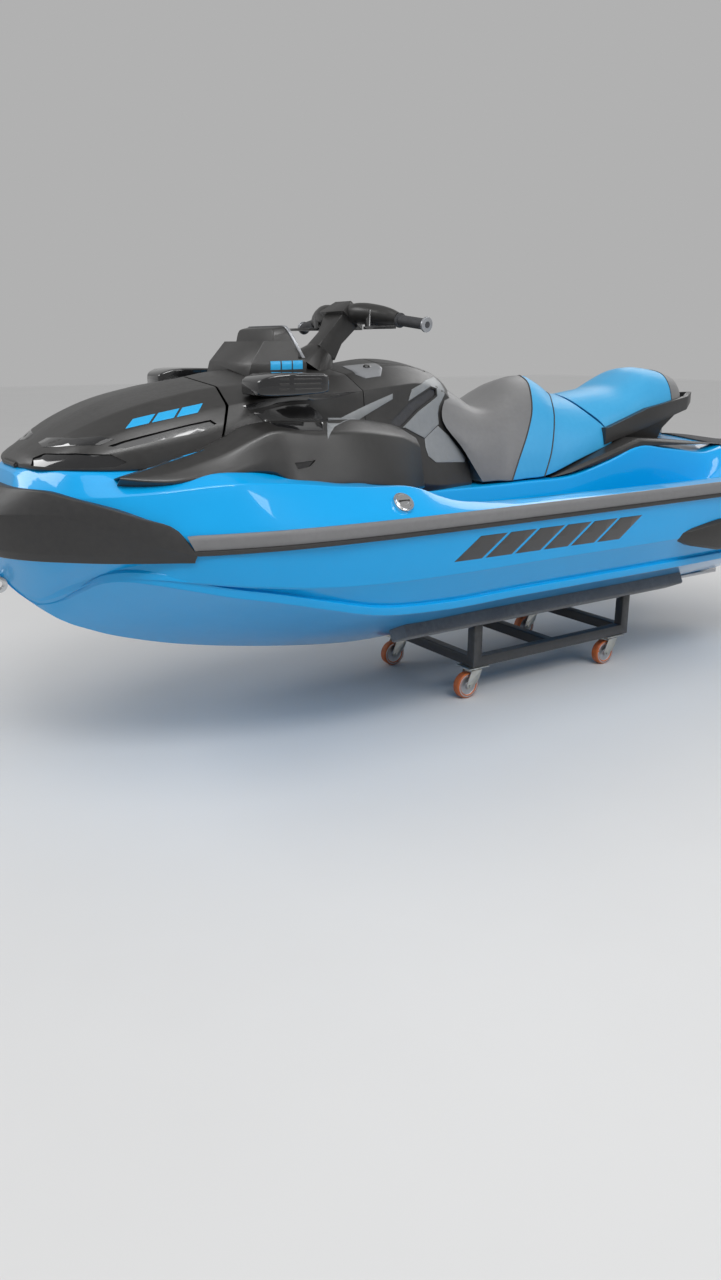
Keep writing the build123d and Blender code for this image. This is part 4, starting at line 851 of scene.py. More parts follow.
# Deck: x, centre z, then (y, z) of pedestal edge, well foot, well floor's outer edge, gunwale, crease
DECK = [
    (1.627, 0.896, (0.110, 0.893), (0.140, 0.891), (0.165, 0.888), (0.185, 0.884), (0.200, 0.880)),
    (1.612, 0.934, (0.095, 0.932), (0.140, 0.918), (0.175, 0.904), (0.200, 0.893), (0.218, 0.886)),
    (1.600, 0.942, (0.100, 0.941), (0.150, 0.925), (0.185, 0.910), (0.210, 0.897), (0.230, 0.888)),
    (1.560, 0.947, (0.180, 0.947), (0.215, 0.930), (0.240, 0.915), (0.258, 0.902), (0.275, 0.890)),
    (1.515, 0.948, (0.270, 0.948), (0.290, 0.930), (0.305, 0.912), (0.318, 0.897), (0.328, 0.884)),
    (1.355, 0.946, (0.345, 0.946), (0.375, 0.930), (0.398, 0.916), (0.416, 0.905), (0.430, 0.895)),
    (1.130, 0.944, (0.450, 0.940), (0.472, 0.931), (0.488, 0.924), (0.500, 0.918), (0.510, 0.913)),
    (1.000, 0.944, (0.440, 0.930), (0.470, 0.920), (0.490, 0.914), (0.506, 0.909), (0.518, 0.905)),
    (0.800, 0.896, (0.440, 0.888), (0.475, 0.888), (0.497, 0.888), (0.515, 0.886), (0.530, 0.882)),
    (0.640, 0.876, (0.300, 0.864), (0.340, 0.862), (0.470, 0.862), (0.495, 0.872), (0.522, 0.870)),
    (0.575, 0.870, (0.300, 0.862), (0.325, 0.820), (0.468, 0.826), (0.505, 0.868), (0.522, 0.866)),
    (0.520, 0.866, (0.298, 0.858), (0.322, 0.720), (0.470, 0.720), (0.509, 0.852), (0.526, 0.854)),
    (0.460, 0.850, (0.295, 0.840), (0.322, 0.620), (0.472, 0.620), (0.512, 0.826), (0.533, 0.830)),
    (0.400, 0.830, (0.290, 0.815), (0.322, 0.566), (0.474, 0.566), (0.515, 0.806), (0.543, 0.812)),
    (0.320, 0.810, (0.284, 0.802), (0.318, 0.560), (0.485, 0.560), (0.517, 0.796), (0.553, 0.802)),
    (0.200, 0.802, (0.278, 0.799), (0.312, 0.560), (0.492, 0.560), (0.518, 0.792), (0.558, 0.796)),
    (-0.150, 0.800, (0.270, 0.797), (0.302, 0.560), (0.496, 0.560), (0.518, 0.789), (0.560, 0.793)),
    (-0.400, 0.812, (0.276, 0.806), (0.300, 0.560), (0.496, 0.560), (0.518, 0.787), (0.560, 0.792)),
    (-0.550, 0.850, (0.296, 0.848), (0.302, 0.560), (0.495, 0.560), (0.517, 0.786), (0.560, 0.791)),
    (-0.713, 0.905, (0.312, 0.898), (0.314, 0.564), (0.492, 0.562), (0.516, 0.785), (0.558, 0.790)),
    (-0.854, 0.902, (0.312, 0.882), (0.330, 0.585), (0.484, 0.576), (0.514, 0.785), (0.556, 0.790)),
    (-0.960, 0.900, (0.312, 0.868), (0.346, 0.650), (0.475, 0.630), (0.512, 0.786), (0.553, 0.790)),
    (-1.106, 0.898, (0.314, 0.852), (0.356, 0.740), (0.466, 0.712), (0.508, 0.788), (0.548, 0.791)),
    (-1.230, 0.896, (0.320, 0.868), (0.372, 0.808), (0.462, 0.776), (0.505, 0.792), (0.542, 0.793)),
    (-1.360, 0.884, (0.350, 0.866), (0.395, 0.830), (0.458, 0.800), (0.496, 0.798), (0.534, 0.796)),
    (-1.560, 0.856, (0.400, 0.842), (0.430, 0.828), (0.462, 0.814), (0.486, 0.806), (0.512, 0.798)),
    (-1.650, 0.848, (0.385, 0.834), (0.412, 0.824), (0.436, 0.814), (0.452, 0.808), (0.468, 0.800)),
    (-1.7135, 0.842, (0.340, 0.828), (0.358, 0.822), (0.374, 0.815), (0.388, 0.808), (0.400, 0.800)),
]
DECK_SOFT = [0.012, 0.026, 0.026, 0.010, 0.004, 0.003, 0.0]
BIN = ((1.120, -0.200, 0.700), (1.440, 0.200, 1.000))
PLATFORM_MAT = [(-1.220, 0.330), (-1.500, 0.360), (-1.640, 0.350), (-1.690, 0.300)]


def deck_row(x, centre, *half):
    wall = wall_y(x)
    points = [(0, centre), *half, (wall - 0.001, RAIL_HIGH - 0.002), (wall - 0.001, BOND_Z)]
    return [(x, y, z) for y, z in points]


def deck_moulding():
    deck = skin("deck_moulding", [deck_row(*row) for row in DECK], DECK_SOFT, spacing=0.03, straights=3,
                bends=3, wall=0.006, ends=(False, True))
    low, high = BIN
    carved(deck, [cutter_block(low, high, 0.0)])
    outline = [(x, y, 0.9) for x, y in PLATFORM_MAT + [(x, -y) for x, y in reversed(PLATFORM_MAT)]]
    mat = inlay("platform_mat_foam", host_tree(deck), outline, (0, 0, -1), -0.001, 0.006)
    eased(mat, 0.001, angle=40.0)
    place(mat, "root", "mat_foam", FOAM, replaces=("platform_mat",))
    return place(deck, "root", "deck_gelcoat", BLUE, replaces=("deck", "footwell_trays"), angle=24.0)


# Rub rail: section as (distance out from the wall, z)
RAIL_SECTION = [
    (0.0, 0.746), (0.0085, 0.746), (0.0112, 0.750), (0.0118, 0.756), (0.0120, 0.774), (0.0105, 0.782),
    (0.0070, 0.7865), (0.0, 0.7870)]
BEAD_SECTION = [
    (0.0, 0.731), (0.0080, 0.731), (0.0112, 0.7335), (0.0120, 0.738), (0.0112, 0.7425), (0.0080, 0.745),
    (0.0, 0.745)]
RAIL_FRONT_X = 1.262


def rail_path():
    port = [p for p in PLAN_LINE if p.x <= RAIL_FRONT_X]
    port.insert(0, Vector((RAIL_FRONT_X, rail_y(RAIL_FRONT_X), 0)))
    corner = smooth_line([port[-1], (STERN_X, 0.30, 0), (STERN_X, 0.0, 0)], 0.06)
    port += corner[1:]
    return port + [Vector((p.x, -p.y, 0)) for p in reversed(port[:-1])]


def swept_rail(name, section, lean):
    """A strip carried round the craft's edge. Its front ends lean forward by lean per metre of height."""
    path = rail_path()
    bm = bmesh.new()
    rings = []
    for i, p in enumerate(path):
        ahead = path[min(i + 1, len(path) - 1)]
        behind = path[max(i - 1, 0)]
        run = (ahead - behind).normalized()
        out = Vector((run.y, -run.x, 0))
        ring = []
        for depth, z in section:
            point = p + out * (depth - RAIL_DEPTH)
            if i in (0, len(path) - 1):
                point.x += lean * (z - RAIL_LOW)
            ring.append(Vector((point.x, point.y, z)))
        rings.append(ring)
    verts, _ = woven(bm, rings, closed_ring=True)
    cap(bm, verts[0])
    cap(bm, list(reversed(verts[-1])))
    return as_object(bm, name)


def rub_rail():
    rail = swept_rail("rub_rail_strip", RAIL_SECTION, 0.5)
    place(rail, "root", "rail_rubber", RAIL, replaces=("rub_rail",))
    bead = swept_rail("rub_rail_bead", BEAD_SECTION, 0.5)
    return place(bead, "root", "rail_rubber", BUMPER_BLACK, replaces=("rub_rail",))


# Bow bumper, round the bow: foot inner, foot, low edge, crease, top edge, top inner
BUMPER = [
    [(1.640, 0.000, 0.711), (1.700, 0.000, 0.711), (1.7140, 0.000, 0.735), (1.7250, 0.000, 0.828),
     (1.655, 0.000, 0.900), (1.60, 0.000, 0.898)],
    [(1.640, 0.050, 0.711), (1.698, 0.062, 0.711), (1.7110, 0.066, 0.735), (1.7215, 0.070, 0.829),
     (1.652, 0.075, 0.901), (1.60, 0.070, 0.898)],
    [(1.630, 0.110, 0.711), (1.684, 0.130, 0.711), (1.6950, 0.135, 0.735), (1.7000, 0.140, 0.831),
     (1.641, 0.150, 0.903), (1.59, 0.140, 0.898)],
    [(1.605, 0.180, 0.711), (1.652, 0.195, 0.711), (1.6610, 0.200, 0.735), (1.6600, 0.208, 0.836),
     (1.619, 0.215, 0.904), (1.57, 0.205, 0.898)],
    [(1.570, 0.235, 0.711), (1.606, 0.257, 0.711), (1.6130, 0.263, 0.735), (1.6080, 0.276, 0.841),
     (1.582, 0.274, 0.902), (1.535, 0.255, 0.896)],
    [(1.515, 0.295, 0.711), (1.545, 0.317, 0.711), (1.5520, 0.325, 0.735), (1.5480, 0.338, 0.838),
     (1.523, 0.344, 0.884), (1.490, 0.322, 0.880)],
    [(1.440, 0.375, 0.711), (1.470, 0.382, 0.711), (1.4760, 0.391, 0.735), (1.4700, 0.410, 0.806),
     (1.455, 0.412, 0.862), (1.430, 0.396, 0.858)],
    [(1.370, 0.425, 0.711), (1.392, 0.434, 0.711), (1.3980, 0.442, 0.732), (1.3950, 0.460, 0.776),
     (1.385, 0.460, 0.836), (1.370, 0.444, 0.832)],
    [(1.295, 0.470, 0.711), (1.312, 0.480, 0.711), (1.3160, 0.486, 0.726), (1.3160, 0.506, 0.749),
     (1.306, 0.503, 0.802), (1.300, 0.490, 0.798)],
    [(1.262, 0.500, 0.711), (1.266, 0.508, 0.711), (1.2660, 0.512, 0.720), (1.2640, 0.522, 0.733),
     (1.263, 0.523, 0.736), (1.262, 0.512, 0.736)],
]


def bow_bumper():
    bumper = skin("bow_bumper_moulding", BUMPER, [0.004, 0.004, 0.003, 0.006], spacing=0.03, straights=2,
                  bends=3, ends=(False, False), wall=0.006)
    return place(bumper, "root", "rail_rubber", BUMPER_BLACK, replaces=("bow_bumper",), angle=28.0)


# Front hood: x of the foot, x of the top, foot (y, z), flank (y, z), shoulder (y, z), crease (y, z), centre z
HOOD = [
    (1.592, 1.592, (0.100, 0.951), (0.098, 0.956), (0.080, 0.960), (0.060, 0.963), 0.965),
    (1.575, 1.572, (0.175, 0.950), (0.168, 0.962), (0.128, 0.974), (0.080, 0.982), 0.986),
    (1.530, 1.526, (0.240, 0.950), (0.232, 0.972), (0.185, 0.990), (0.120, 1.004), 1.012),
    (1.450, 1.450, (0.310, 0.950), (0.302, 0.990), (0.262, 1.022), (0.165, 1.048), 1.058),
    (1.350, 1.350, (0.340, 0.948), (0.332, 1.006), (0.298, 1.052), (0.195, 1.090), 1.102),
    (1.250, 1.250, (0.350, 0.956), (0.343, 1.020), (0.312, 1.074), (0.215, 1.120), 1.134),
    (1.180, 1.165, (0.353, 0.966), (0.347, 1.034), (0.318, 1.088), (0.222, 1.138), 1.154),
    (1.130, 1.100, (0.356, 0.976), (0.349, 1.048), (0.320, 1.100), (0.224, 1.150), 1.170),
    (1.110, 1.050, (0.358, 0.982), (0.350, 1.058), (0.320, 1.108), (0.224, 1.156), 1.178),
]
HOOD_VENT = [(1.411, 0.301, 1.012), (1.365, 0.312, 1.026), (1.194, 0.328, 1.060), (1.121, 0.335, 1.072),
             (1.107, 0.343, 1.061), (1.154, 0.345, 1.041), (1.273, 0.336, 1.024), (1.370, 0.323, 1.006)]
HOOD_NOSE = [(1.576, 0.150, 0.957), (1.566, 0.139, 0.976), (1.541, 0.160, 0.988), (1.484, 0.252, 0.994),
             (1.409, 0.317, 0.992), (1.371, 0.333, 0.970), (1.401, 0.328, 0.958), (1.495, 0.273, 0.956)]
HOOD_LINE = [(1.524, 0.055, 1.008), (1.502, 0.065, 1.021), (1.466, 0.204, 1.028), (1.417, 0.266, 1.036),
             (1.389, 0.296, 1.029), (1.427, 0.290, 1.015), (1.505, 0.182, 1.006), (1.530, 0.115, 1.001)]
# Top front, top rear, foot rear, foot front
HOOD_BARS = [(1.342, 0.252, 1.072), (1.112, 0.286, 1.116), (1.119, 0.316, 1.096), (1.353, 0.286, 1.054)]


def slanted_bars(corners, count, gap=0.12, lean=0.10):
    """Cuts a four-cornered strip into a row of slanted bars."""
    a, b, c, d = (Vector(p) for p in corners)
    bars = []
    for k in range(count):
        start, end = k / count, (k + 1 - gap) / count
        top = [lerp(a, b, start * (1 - lean) + lean), lerp(a, b, end * (1 - lean) + lean)]
        foot = [lerp(d, c, end * (1 - lean)), lerp(d, c, start * (1 - lean))]
        bars.append(top + foot)
    return bars


def hood_row(foot_x, top_x, foot, flank, shoulder, crease, centre, inset=0.0):
    spots = [(top_x, 0, centre), (top_x, *crease), (lerp(foot_x, top_x, 0.75), *shoulder),
             (lerp(foot_x, top_x, 0.35), *flank), (foot_x, *foot), (foot_x, foot[0] - 0.012, foot[1] - 0.004)]
    return [(x, max(y - inset, 0), z) for x, y, z in spots]


def front_hood():
    hood = skin("front_hood_moulding", [hood_row(*row) for row in HOOD], [0.010, 0.014, 0.012, 0.006],
                spacing=0.025, straights=3, bends=3, wall=0.004, ends=(True, False))
    outward = (0, -1, -0.25)
    pocket("hood_vent_insert", hood, HOOD_VENT, outward, "hood", "cowl_black", GLOSS)
    pocket("hood_nose_intake", hood, HOOD_NOSE, (-0.35, -1, 0), "hood", "cowl_black", GLOSS, 0.006)
    tree = host_tree(hood)
    plate("hood_gloss_line", tree, HOOD_LINE, (-0.4, -1, -0.3), "hood", "cowl_black", GLOSS)
    for k, outline in enumerate(slanted_bars(HOOD_BARS, 3)):
        plate(f"hood_bar_{k}", tree, outline, outward, "hood", "cowl_black", BAR_BLUE, high=0.0012)
    hinge = turned("hood_hinge_barrel", [(-0.072, 0.004), (-0.060, 0.004), (-0.060, 0.008), (0.060, 0.008),
                                         (0.060, 0.004), (0.072, 0.004)], (1.592, 0, 0.950), (0, 1, 0), 24)
    place(hinge, "hood", "cowl_black", SATIN)
    return place(hood, "hood", "cowl_black", SATIN, replaces=("front_hood",), angle=24.0)


# Fairing: x, foot (y, z), flank (y, z), ledge (y, z), crease (y, z), centre z
FAIRING = [
    (1.104, 1.044, (0.360, 0.985), (0.350, 1.060), (0.320, 1.108), (0.226, 1.157), 1.179),
    (1.040, 1.000, (0.364, 0.978), (0.352, 1.066), (0.326, 1.116), (0.226, 1.160), 1.188),
    (0.940, 0.920, (0.372, 0.960), (0.330, 1.072), (0.336, 1.126), (0.222, 1.166), 1.196),
    (0.840, 0.830, (0.370, 0.940), (0.300, 1.060), (0.330, 1.128), (0.215, 1.170), 1.199),
    (0.760, 0.760, (0.362, 0.925), (0.292, 1.050), (0.312, 1.128), (0.205, 1.173), 1.201),
    (0.660, 0.660, (0.352, 0.900), (0.286, 1.040), (0.288, 1.130), (0.186, 1.178), 1.204),
    (0.563, 0.563, (0.342, 0.880), (0.280, 1.036), (0.266, 1.134), (0.165, 1.182), 1.206),
]
CONSOLE = [
    (0.560, 0.560, (0.342, 0.880), (0.280, 1.036), (0.266, 1.134), (0.165, 1.182), 1.206),
    (0.480, 0.480, (0.322, 0.862), (0.268, 1.030), (0.248, 1.140), (0.150, 1.196), 1.218),
    (0.400, 0.400, (0.302, 0.842), (0.252, 1.020), (0.228, 1.146), (0.136, 1.206), 1.227),
    (0.300, 0.300, (0.285, 0.822), (0.222, 1.000), (0.196, 1.150), (0.118, 1.206), 1.224),
    (0.220, 0.220, (0.268, 0.812), (0.202, 0.985), (0.172, 1.142), (0.106, 1.194), 1.211),
    (0.150, 0.150, (0.244, 0.808), (0.184, 0.975), (0.150, 1.120), (0.096, 1.172), 1.191),
    (0.100, 0.100, (0.228, 0.806), (0.172, 0.965), (0.138, 1.085), (0.088, 1.142), 1.165),
    (0.063, 0.063, (0.220, 0.806), (0.162, 0.950), (0.130, 1.050), (0.080, 1.105), 1.130),
]


def cowl_row(foot_x, top_x, foot, flank, ledge, crease, centre):
    return [(top_x, 0, centre), (top_x, *crease), (lerp(foot_x, top_x, 0.8), *ledge),
            (lerp(foot_x, top_x, 0.4), *flank), (foot_x, *foot), (foot_x, foot[0] - 0.010, foot[1] - 0.030)]


COWL_SOFT = [0.012, 0.004, 0.020, 0.006]
LEDGE_LINE = [(1.020, 0.331, 1.106), (0.898, 0.333, 1.126), (0.711, 0.300, 1.130), (0.580, 0.270, 1.133),
              (0.711, 0.298, 1.116), (0.898, 0.333, 1.110), (1.000, 0.331, 1.094)]
KNEE_PAD = [(x, 0.25, z) for x, z in [
    (0.450, 1.036), (0.346, 1.092), (0.222, 1.132), (0.196, 1.126), (0.196, 1.108), (0.300, 1.068),
    (0.400, 1.018), (0.440, 1.020)]]
CONSOLE_ARCH = [(x, 0.25, z) for x, z in [
    (0.352, 1.096), (0.329, 1.131), (0.235, 1.158), (0.165, 1.166), (0.132, 1.146), (0.130, 1.120),
    (0.187, 1.071), (0.198, 1.046), (0.198, 1.012), (0.286, 0.972), (0.385, 1.012), (0.396, 1.013),
    (0.298, 1.061), (0.190, 1.103), (0.190, 1.130), (0.224, 1.138), (0.346, 1.097)]]
CONSOLE_FLANK = [(x, 0.25, z) for x, z in [
    (0.286, 0.969), (0.202, 1.006), (0.147, 0.968), (0.072, 0.890), (0.084, 0.876), (0.249, 0.890),
    (0.284, 0.914), (0.290, 0.944)]]
SIDE_BLADE = [(0.805, 0.446, 1.009), (0.770, 0.386, 1.051), (0.710, 0.294, 1.059), (0.659, 0.289, 1.057),
              (0.428, 0.240, 1.121), (0.431, 0.244, 1.104), (0.705, 0.371, 1.050), (0.756, 0.405, 1.041)]
# Painted shade: a dark gloss plate that stands for the shade in the hollow under the ledge and mirror pod.
SIDE_SCOOP_PAINTED_SHADE = [(0.990, 0.345, 1.087), (0.935, 0.334, 1.095), (0.883, 0.328, 1.102), (0.790, 0.312, 1.104),
              (0.730, 0.300, 1.064), (0.808, 0.425, 1.031), (0.900, 0.440, 1.041), (0.958, 0.422, 1.053)]
SIDE_SLOT = [(0.935, 0.477, 0.954), (0.862, 0.471, 0.957), (0.884, 0.479, 0.941), (0.927, 0.482, 0.936)]
DECK_STRIP = [(1.408, 0.385, 0.942), (1.281, 0.354, 0.966), (1.160, 0.358, 0.985), (1.163, 0.372, 0.992),
              (1.267, 0.374, 0.968), (1.400, 0.394, 0.940)]
OBLIQUE = (-0.532, -0.795, -0.293)
LATCH_PLATE = [(0.513, 0.069, 1.203), (0.400, 0.098, 1.211), (0.408, 0.150, 1.195), (0.440, 0.188, 1.173),
               (0.505, 0.196, 1.164), (0.528, 0.170, 1.168)]


def fairing():
    part = skin("fairing_moulding", [cowl_row(*row) for row in FAIRING], COWL_SOFT, spacing=0.025, straights=3,
                bends=3, wall=0.004)
    plate("fairing_accent", host_tree(part), LEDGE_LINE, (0, -1, 0), "root", "cowl_black", GLOSS)
    return place(part, "root", "cowl_black", SATIN, replaces=("fairing",), angle=24.0)


def console():
    part = skin("console_moulding", [cowl_row(*row) for row in CONSOLE], COWL_SOFT, spacing=0.02, straights=3,
                bends=3, ends=(False, True))
    thickened(part, 0.004)
    pocket("knee_pad", part, KNEE_PAD, (0, -1, 0), "root", "cowl_black", GRIP, 0.006)
    tree = host_tree(part)
    plate("console_arch", tree, CONSOLE_ARCH, (0, -1, 0), "root", "cowl_black", COWL_GREY, high=0.003)
    plate("console_flank", tree, CONSOLE_FLANK, (0, -1, 0), "root", "cowl_black", COWL_GREY)
    plate("latch_plate", tree, LATCH_PLATE, (0, -0.3, -1), "root", "silver_trim", SILVER, high=0.002)
    knob = turned("latch_knob", [(0.0, 0.014), (0.010, 0.013), (0.014, 0.009), (0.015, 0.004)],
                  (0.455, 0.128, 1.196), (0, 0.3, 1), 24)
    place(both_sides(knob), "root", "gloss_black", GLOSS)
    return part


LID = ((0.174, -0.108, 1.166), (0.384, 0.108, 1.300))
LID_SEAM = 0.003
LID_MIDDLE_X = 0.279


def glove_lid(console_part):
    """The lid is the piece of the console's top over the glove box."""
    tree = host_tree(console_part)
    (x0, y0, _), (x1, y1, _) = LID
    corner = 0.03
    outline = [(x0 + corner, y0), (x1 - corner, y0), (x1, y0 + corner), (x1, y1 - corner), (x1 - corner, y1),
               (x0 + corner, y1), (x0, y1 - corner), (x0, y0 + corner)]
    lid = inlay("glove_lid", tree, [(x, y, 1.3) for x, y in outline], (0, 0, -1), -0.012, 0.0005, grid=0.012)
    wider = [(x + math.copysign(LID_SEAM, x - LID_MIDDLE_X), y + math.copysign(LID_SEAM, y), 1.3)
             for x, y in outline]
    cutter = inlay("cutter", tree, wider, (0, 0, -1), -0.05, 0.05, grid=0.012)
    carved(console_part, [cutter])
    eased(lid, 0.002)
    return lid


# Side panel, port: x, foot (y, z), crease (y, z), belly (y, z), top (y, z)
PANEL = [
    (1.418, (0.402, 0.935), (0.402, 0.938), (0.400, 0.940), (0.397, 0.942)),
    (1.360, (0.426, 0.927), (0.424, 0.933), (0.410, 0.943), (0.384, 0.952)),
    (1.290, (0.448, 0.922), (0.446, 0.930), (0.425, 0.948), (0.374, 0.966)),
    (1.200, (0.452, 0.926), (0.450, 0.936), (0.428, 0.966), (0.370, 0.990)),
    (1.120, (0.455, 0.930), (0.453, 0.942), (0.430, 0.988), (0.366, 1.016)),
    (1.040, (0.458, 0.936), (0.456, 0.954), (0.436, 1.020), (0.362, 1.052)),
    (0.990, (0.470, 0.930), (0.466, 0.955), (0.446, 1.040), (0.372, 1.062)),
    (0.930, (0.496, 0.888), (0.484, 0.930), (0.456, 1.040), (0.388, 1.066)),
    (0.850, (0.490, 0.884), (0.478, 0.926), (0.450, 1.030), (0.386, 1.060)),
    (0.760, (0.480, 0.884), (0.468, 0.924), (0.436, 1.028), (0.368, 1.058)),
    (0.660, (0.464, 0.872), (0.452, 0.912), (0.414, 1.022), (0.345, 1.056)),
    (0.560, (0.440, 0.857), (0.428, 0.896), (0.384, 1.010), (0.318, 1.046)),
    (0.450, (0.392, 0.838), (0.380, 0.880), (0.338, 0.990), (0.290, 1.024)),
    (0.360, (0.332, 0.826), (0.322, 0.870), (0.302, 0.955), (0.276, 0.982)),
]


def panel_row(x, foot, crease, belly, top):
    return [(x, foot[0] - 0.03, foot[1] - 0.02), (x, *foot), (x, *crease), (x, *belly), (x, *top),
            (x, top[0] - 0.05, top[1] - 0.012)]


def side_panels(cowls):
    part = skin("side_panel_pair", [panel_row(*row) for row in PANEL], [0.003, 0.010, 0.008, 0.006],
                spacing=0.025, straights=3, bends=3, wall=0.004)
    pocket("side_slot", part, SIDE_SLOT, (0, -1, 0), "root", "cowl_black", GLOSS, 0.006)
    tree = host_tree(part, *cowls)
    # The scoop plate is painted shade under the ledge and mirror pod, darker than the satin panel round it.
    plate("side_scoop_painted_shade", tree, SIDE_SCOOP_PAINTED_SHADE, OBLIQUE, "root", "cowl_black", GLOSS, high=0.001)
    plate("side_blade", tree, SIDE_BLADE, OBLIQUE, "root", "silver_trim", COWL_GREY, high=0.002)
    plate("deck_strip", tree, DECK_STRIP, OBLIQUE, "root", "deck_gelcoat", BLUE, high=0.001)
    return place(part, "root", "cowl_black", SATIN, replaces=("side_panels",), angle=24.0)


# Mirror pods: x, inner and outer y, low and high z
POD = [
    (1.006, 0.306, 0.404, 1.139, 1.172), (1.002, 0.300, 0.412, 1.136, 1.178), (0.990, 0.294, 0.426, 1.135, 1.185),
    (0.965, 0.290, 0.442, 1.135, 1.193), (0.925, 0.288, 0.455, 1.136, 1.1965), (0.870, 0.288, 0.4575, 1.138, 1.1965),
    (0.826, 0.288, 0.4575, 1.140, 1.1960), (0.809, 0.290, 0.456, 1.1425, 1.190), (0.8025, 0.296, 0.450, 1.146, 1.182)]
POD_ROUND = 0.007
SLATS = [(1.183, 1.178), (1.170, 1.164), (1.156, 1.150)]


def pod_ring(x, inner, outer, low, high):
    corner = min(POD_ROUND, (high - low) * 0.45)
    ring = []
    for cy, cz, turn in ((outer, high, 0), (inner, high, 90), (inner, low, 180), (outer, low, 270)):
        my = cy - math.copysign(corner, cy - (inner + outer) / 2)
        mz = cz - math.copysign(corner, cz - (low + high) / 2)
        for step in range(5):
            a = math.radians(turn + 22.5 * step)
            ring.append(Vector((x, my + math.cos(a) * corner, mz + math.sin(a) * corner)))
    return ring


def mirrors():
    bm = bmesh.new()
    verts, _ = woven(bm, [pod_ring(*row) for row in POD], closed_ring=True)
    cap(bm, verts[0])
    cap(bm, list(reversed(verts[-1])))
    pods = as_object(bm, "mirror_pods")
    both_sides(pods)
    place(pods, "root", "gloss_black", GLOSS, replaces=("mirrors",), angle=40.0)
    tree = host_tree(pods)
    for k, (top, foot) in enumerate(SLATS):
        outline = [(0.960, 0.458, top), (0.834, 0.458, top), (0.828, 0.458, foot), (0.970, 0.458, foot)]
        plate(f"mirror_slat_{k}", tree, outline, (0, -1, 0), "root", "gloss_black", SATIN, high=0.0003)
    glass = [(0.802, 0.440, 1.176), (0.802, 0.305, 1.176), (0.802, 0.305, 1.152), (0.802, 0.440, 1.152)]
    plate("mirror_glass", tree, glass, (1, 0, 0), "root", "gloss_black", MIRROR_GLASS, high=0.0005)


# Seats. Rows from the base up to the centre: base, low, mid, shoulder, near centre, centre
SEAT_FRONT = [
    [(0.034, 0.246, 0.806), (0.108, 0.212, 0.932), (0.184, 0.196, 1.012), (0.178, 0.180, 1.062),
     (0.118, 0.136, 1.110), (0.066, 0.070, 1.122), (0.052, 0.000, 1.124)],
    [(0.010, 0.248, 0.806), (0.070, 0.224, 0.915), (0.120, 0.202, 0.990), (0.112, 0.176, 1.044),
     (0.066, 0.134, 1.088), (0.026, 0.070, 1.100), (0.014, 0.000, 1.102)],
    [(-0.050, 0.250, 0.805), (-0.045, 0.230, 0.890), (-0.035, 0.204, 0.970), (-0.038, 0.168, 1.022),
     (-0.052, 0.130, 1.048), (-0.075, 0.070, 1.058), (-0.083, 0.000, 1.059)],
    [(-0.075, 0.252, 0.802), (-0.085, 0.230, 0.880), (-0.100, 0.204, 0.962), (-0.112, 0.170, 1.026),
     (-0.120, 0.132, 1.060), (-0.140, 0.070, 1.086), (-0.150, 0.000, 1.095)],
    [(-0.085, 0.252, 0.802), (-0.115, 0.232, 0.882), (-0.150, 0.206, 0.958), (-0.176, 0.170, 1.036),
     (-0.190, 0.130, 1.088), (-0.215, 0.070, 1.128), (-0.230, 0.000, 1.146)],
    [(-0.099, 0.252, 0.802), (-0.150, 0.232, 0.885), (-0.205, 0.206, 0.955), (-0.262, 0.168, 1.038),
     (-0.290, 0.126, 1.096), (-0.325, 0.070, 1.140), (-0.345, 0.000, 1.160)],
    [(-0.180, 0.251, 0.804), (-0.230, 0.231, 0.885), (-0.275, 0.204, 0.958), (-0.328, 0.168, 1.036),
     (-0.352, 0.128, 1.086), (-0.395, 0.070, 1.120), (-0.415, 0.000, 1.136)],
    [(-0.262, 0.250, 0.806), (-0.310, 0.230, 0.885), (-0.345, 0.202, 0.960), (-0.375, 0.168, 1.026),
     (-0.398, 0.126, 1.068), (-0.440, 0.070, 1.092), (-0.469, 0.000, 1.102)],
    [(-0.460, 0.236, 0.856), (-0.470, 0.228, 0.905), (-0.478, 0.204, 0.962), (-0.470, 0.166, 1.018),
     (-0.468, 0.124, 1.058), (-0.486, 0.070, 1.080), (-0.505, 0.000, 1.090)],
    [(-0.652, 0.214, 0.902), (-0.645, 0.210, 0.932), (-0.616, 0.200, 0.968), (-0.562, 0.166, 1.014),
     (-0.526, 0.122, 1.052), (-0.515, 0.070, 1.075), (-0.536, 0.000, 1.086)],
]
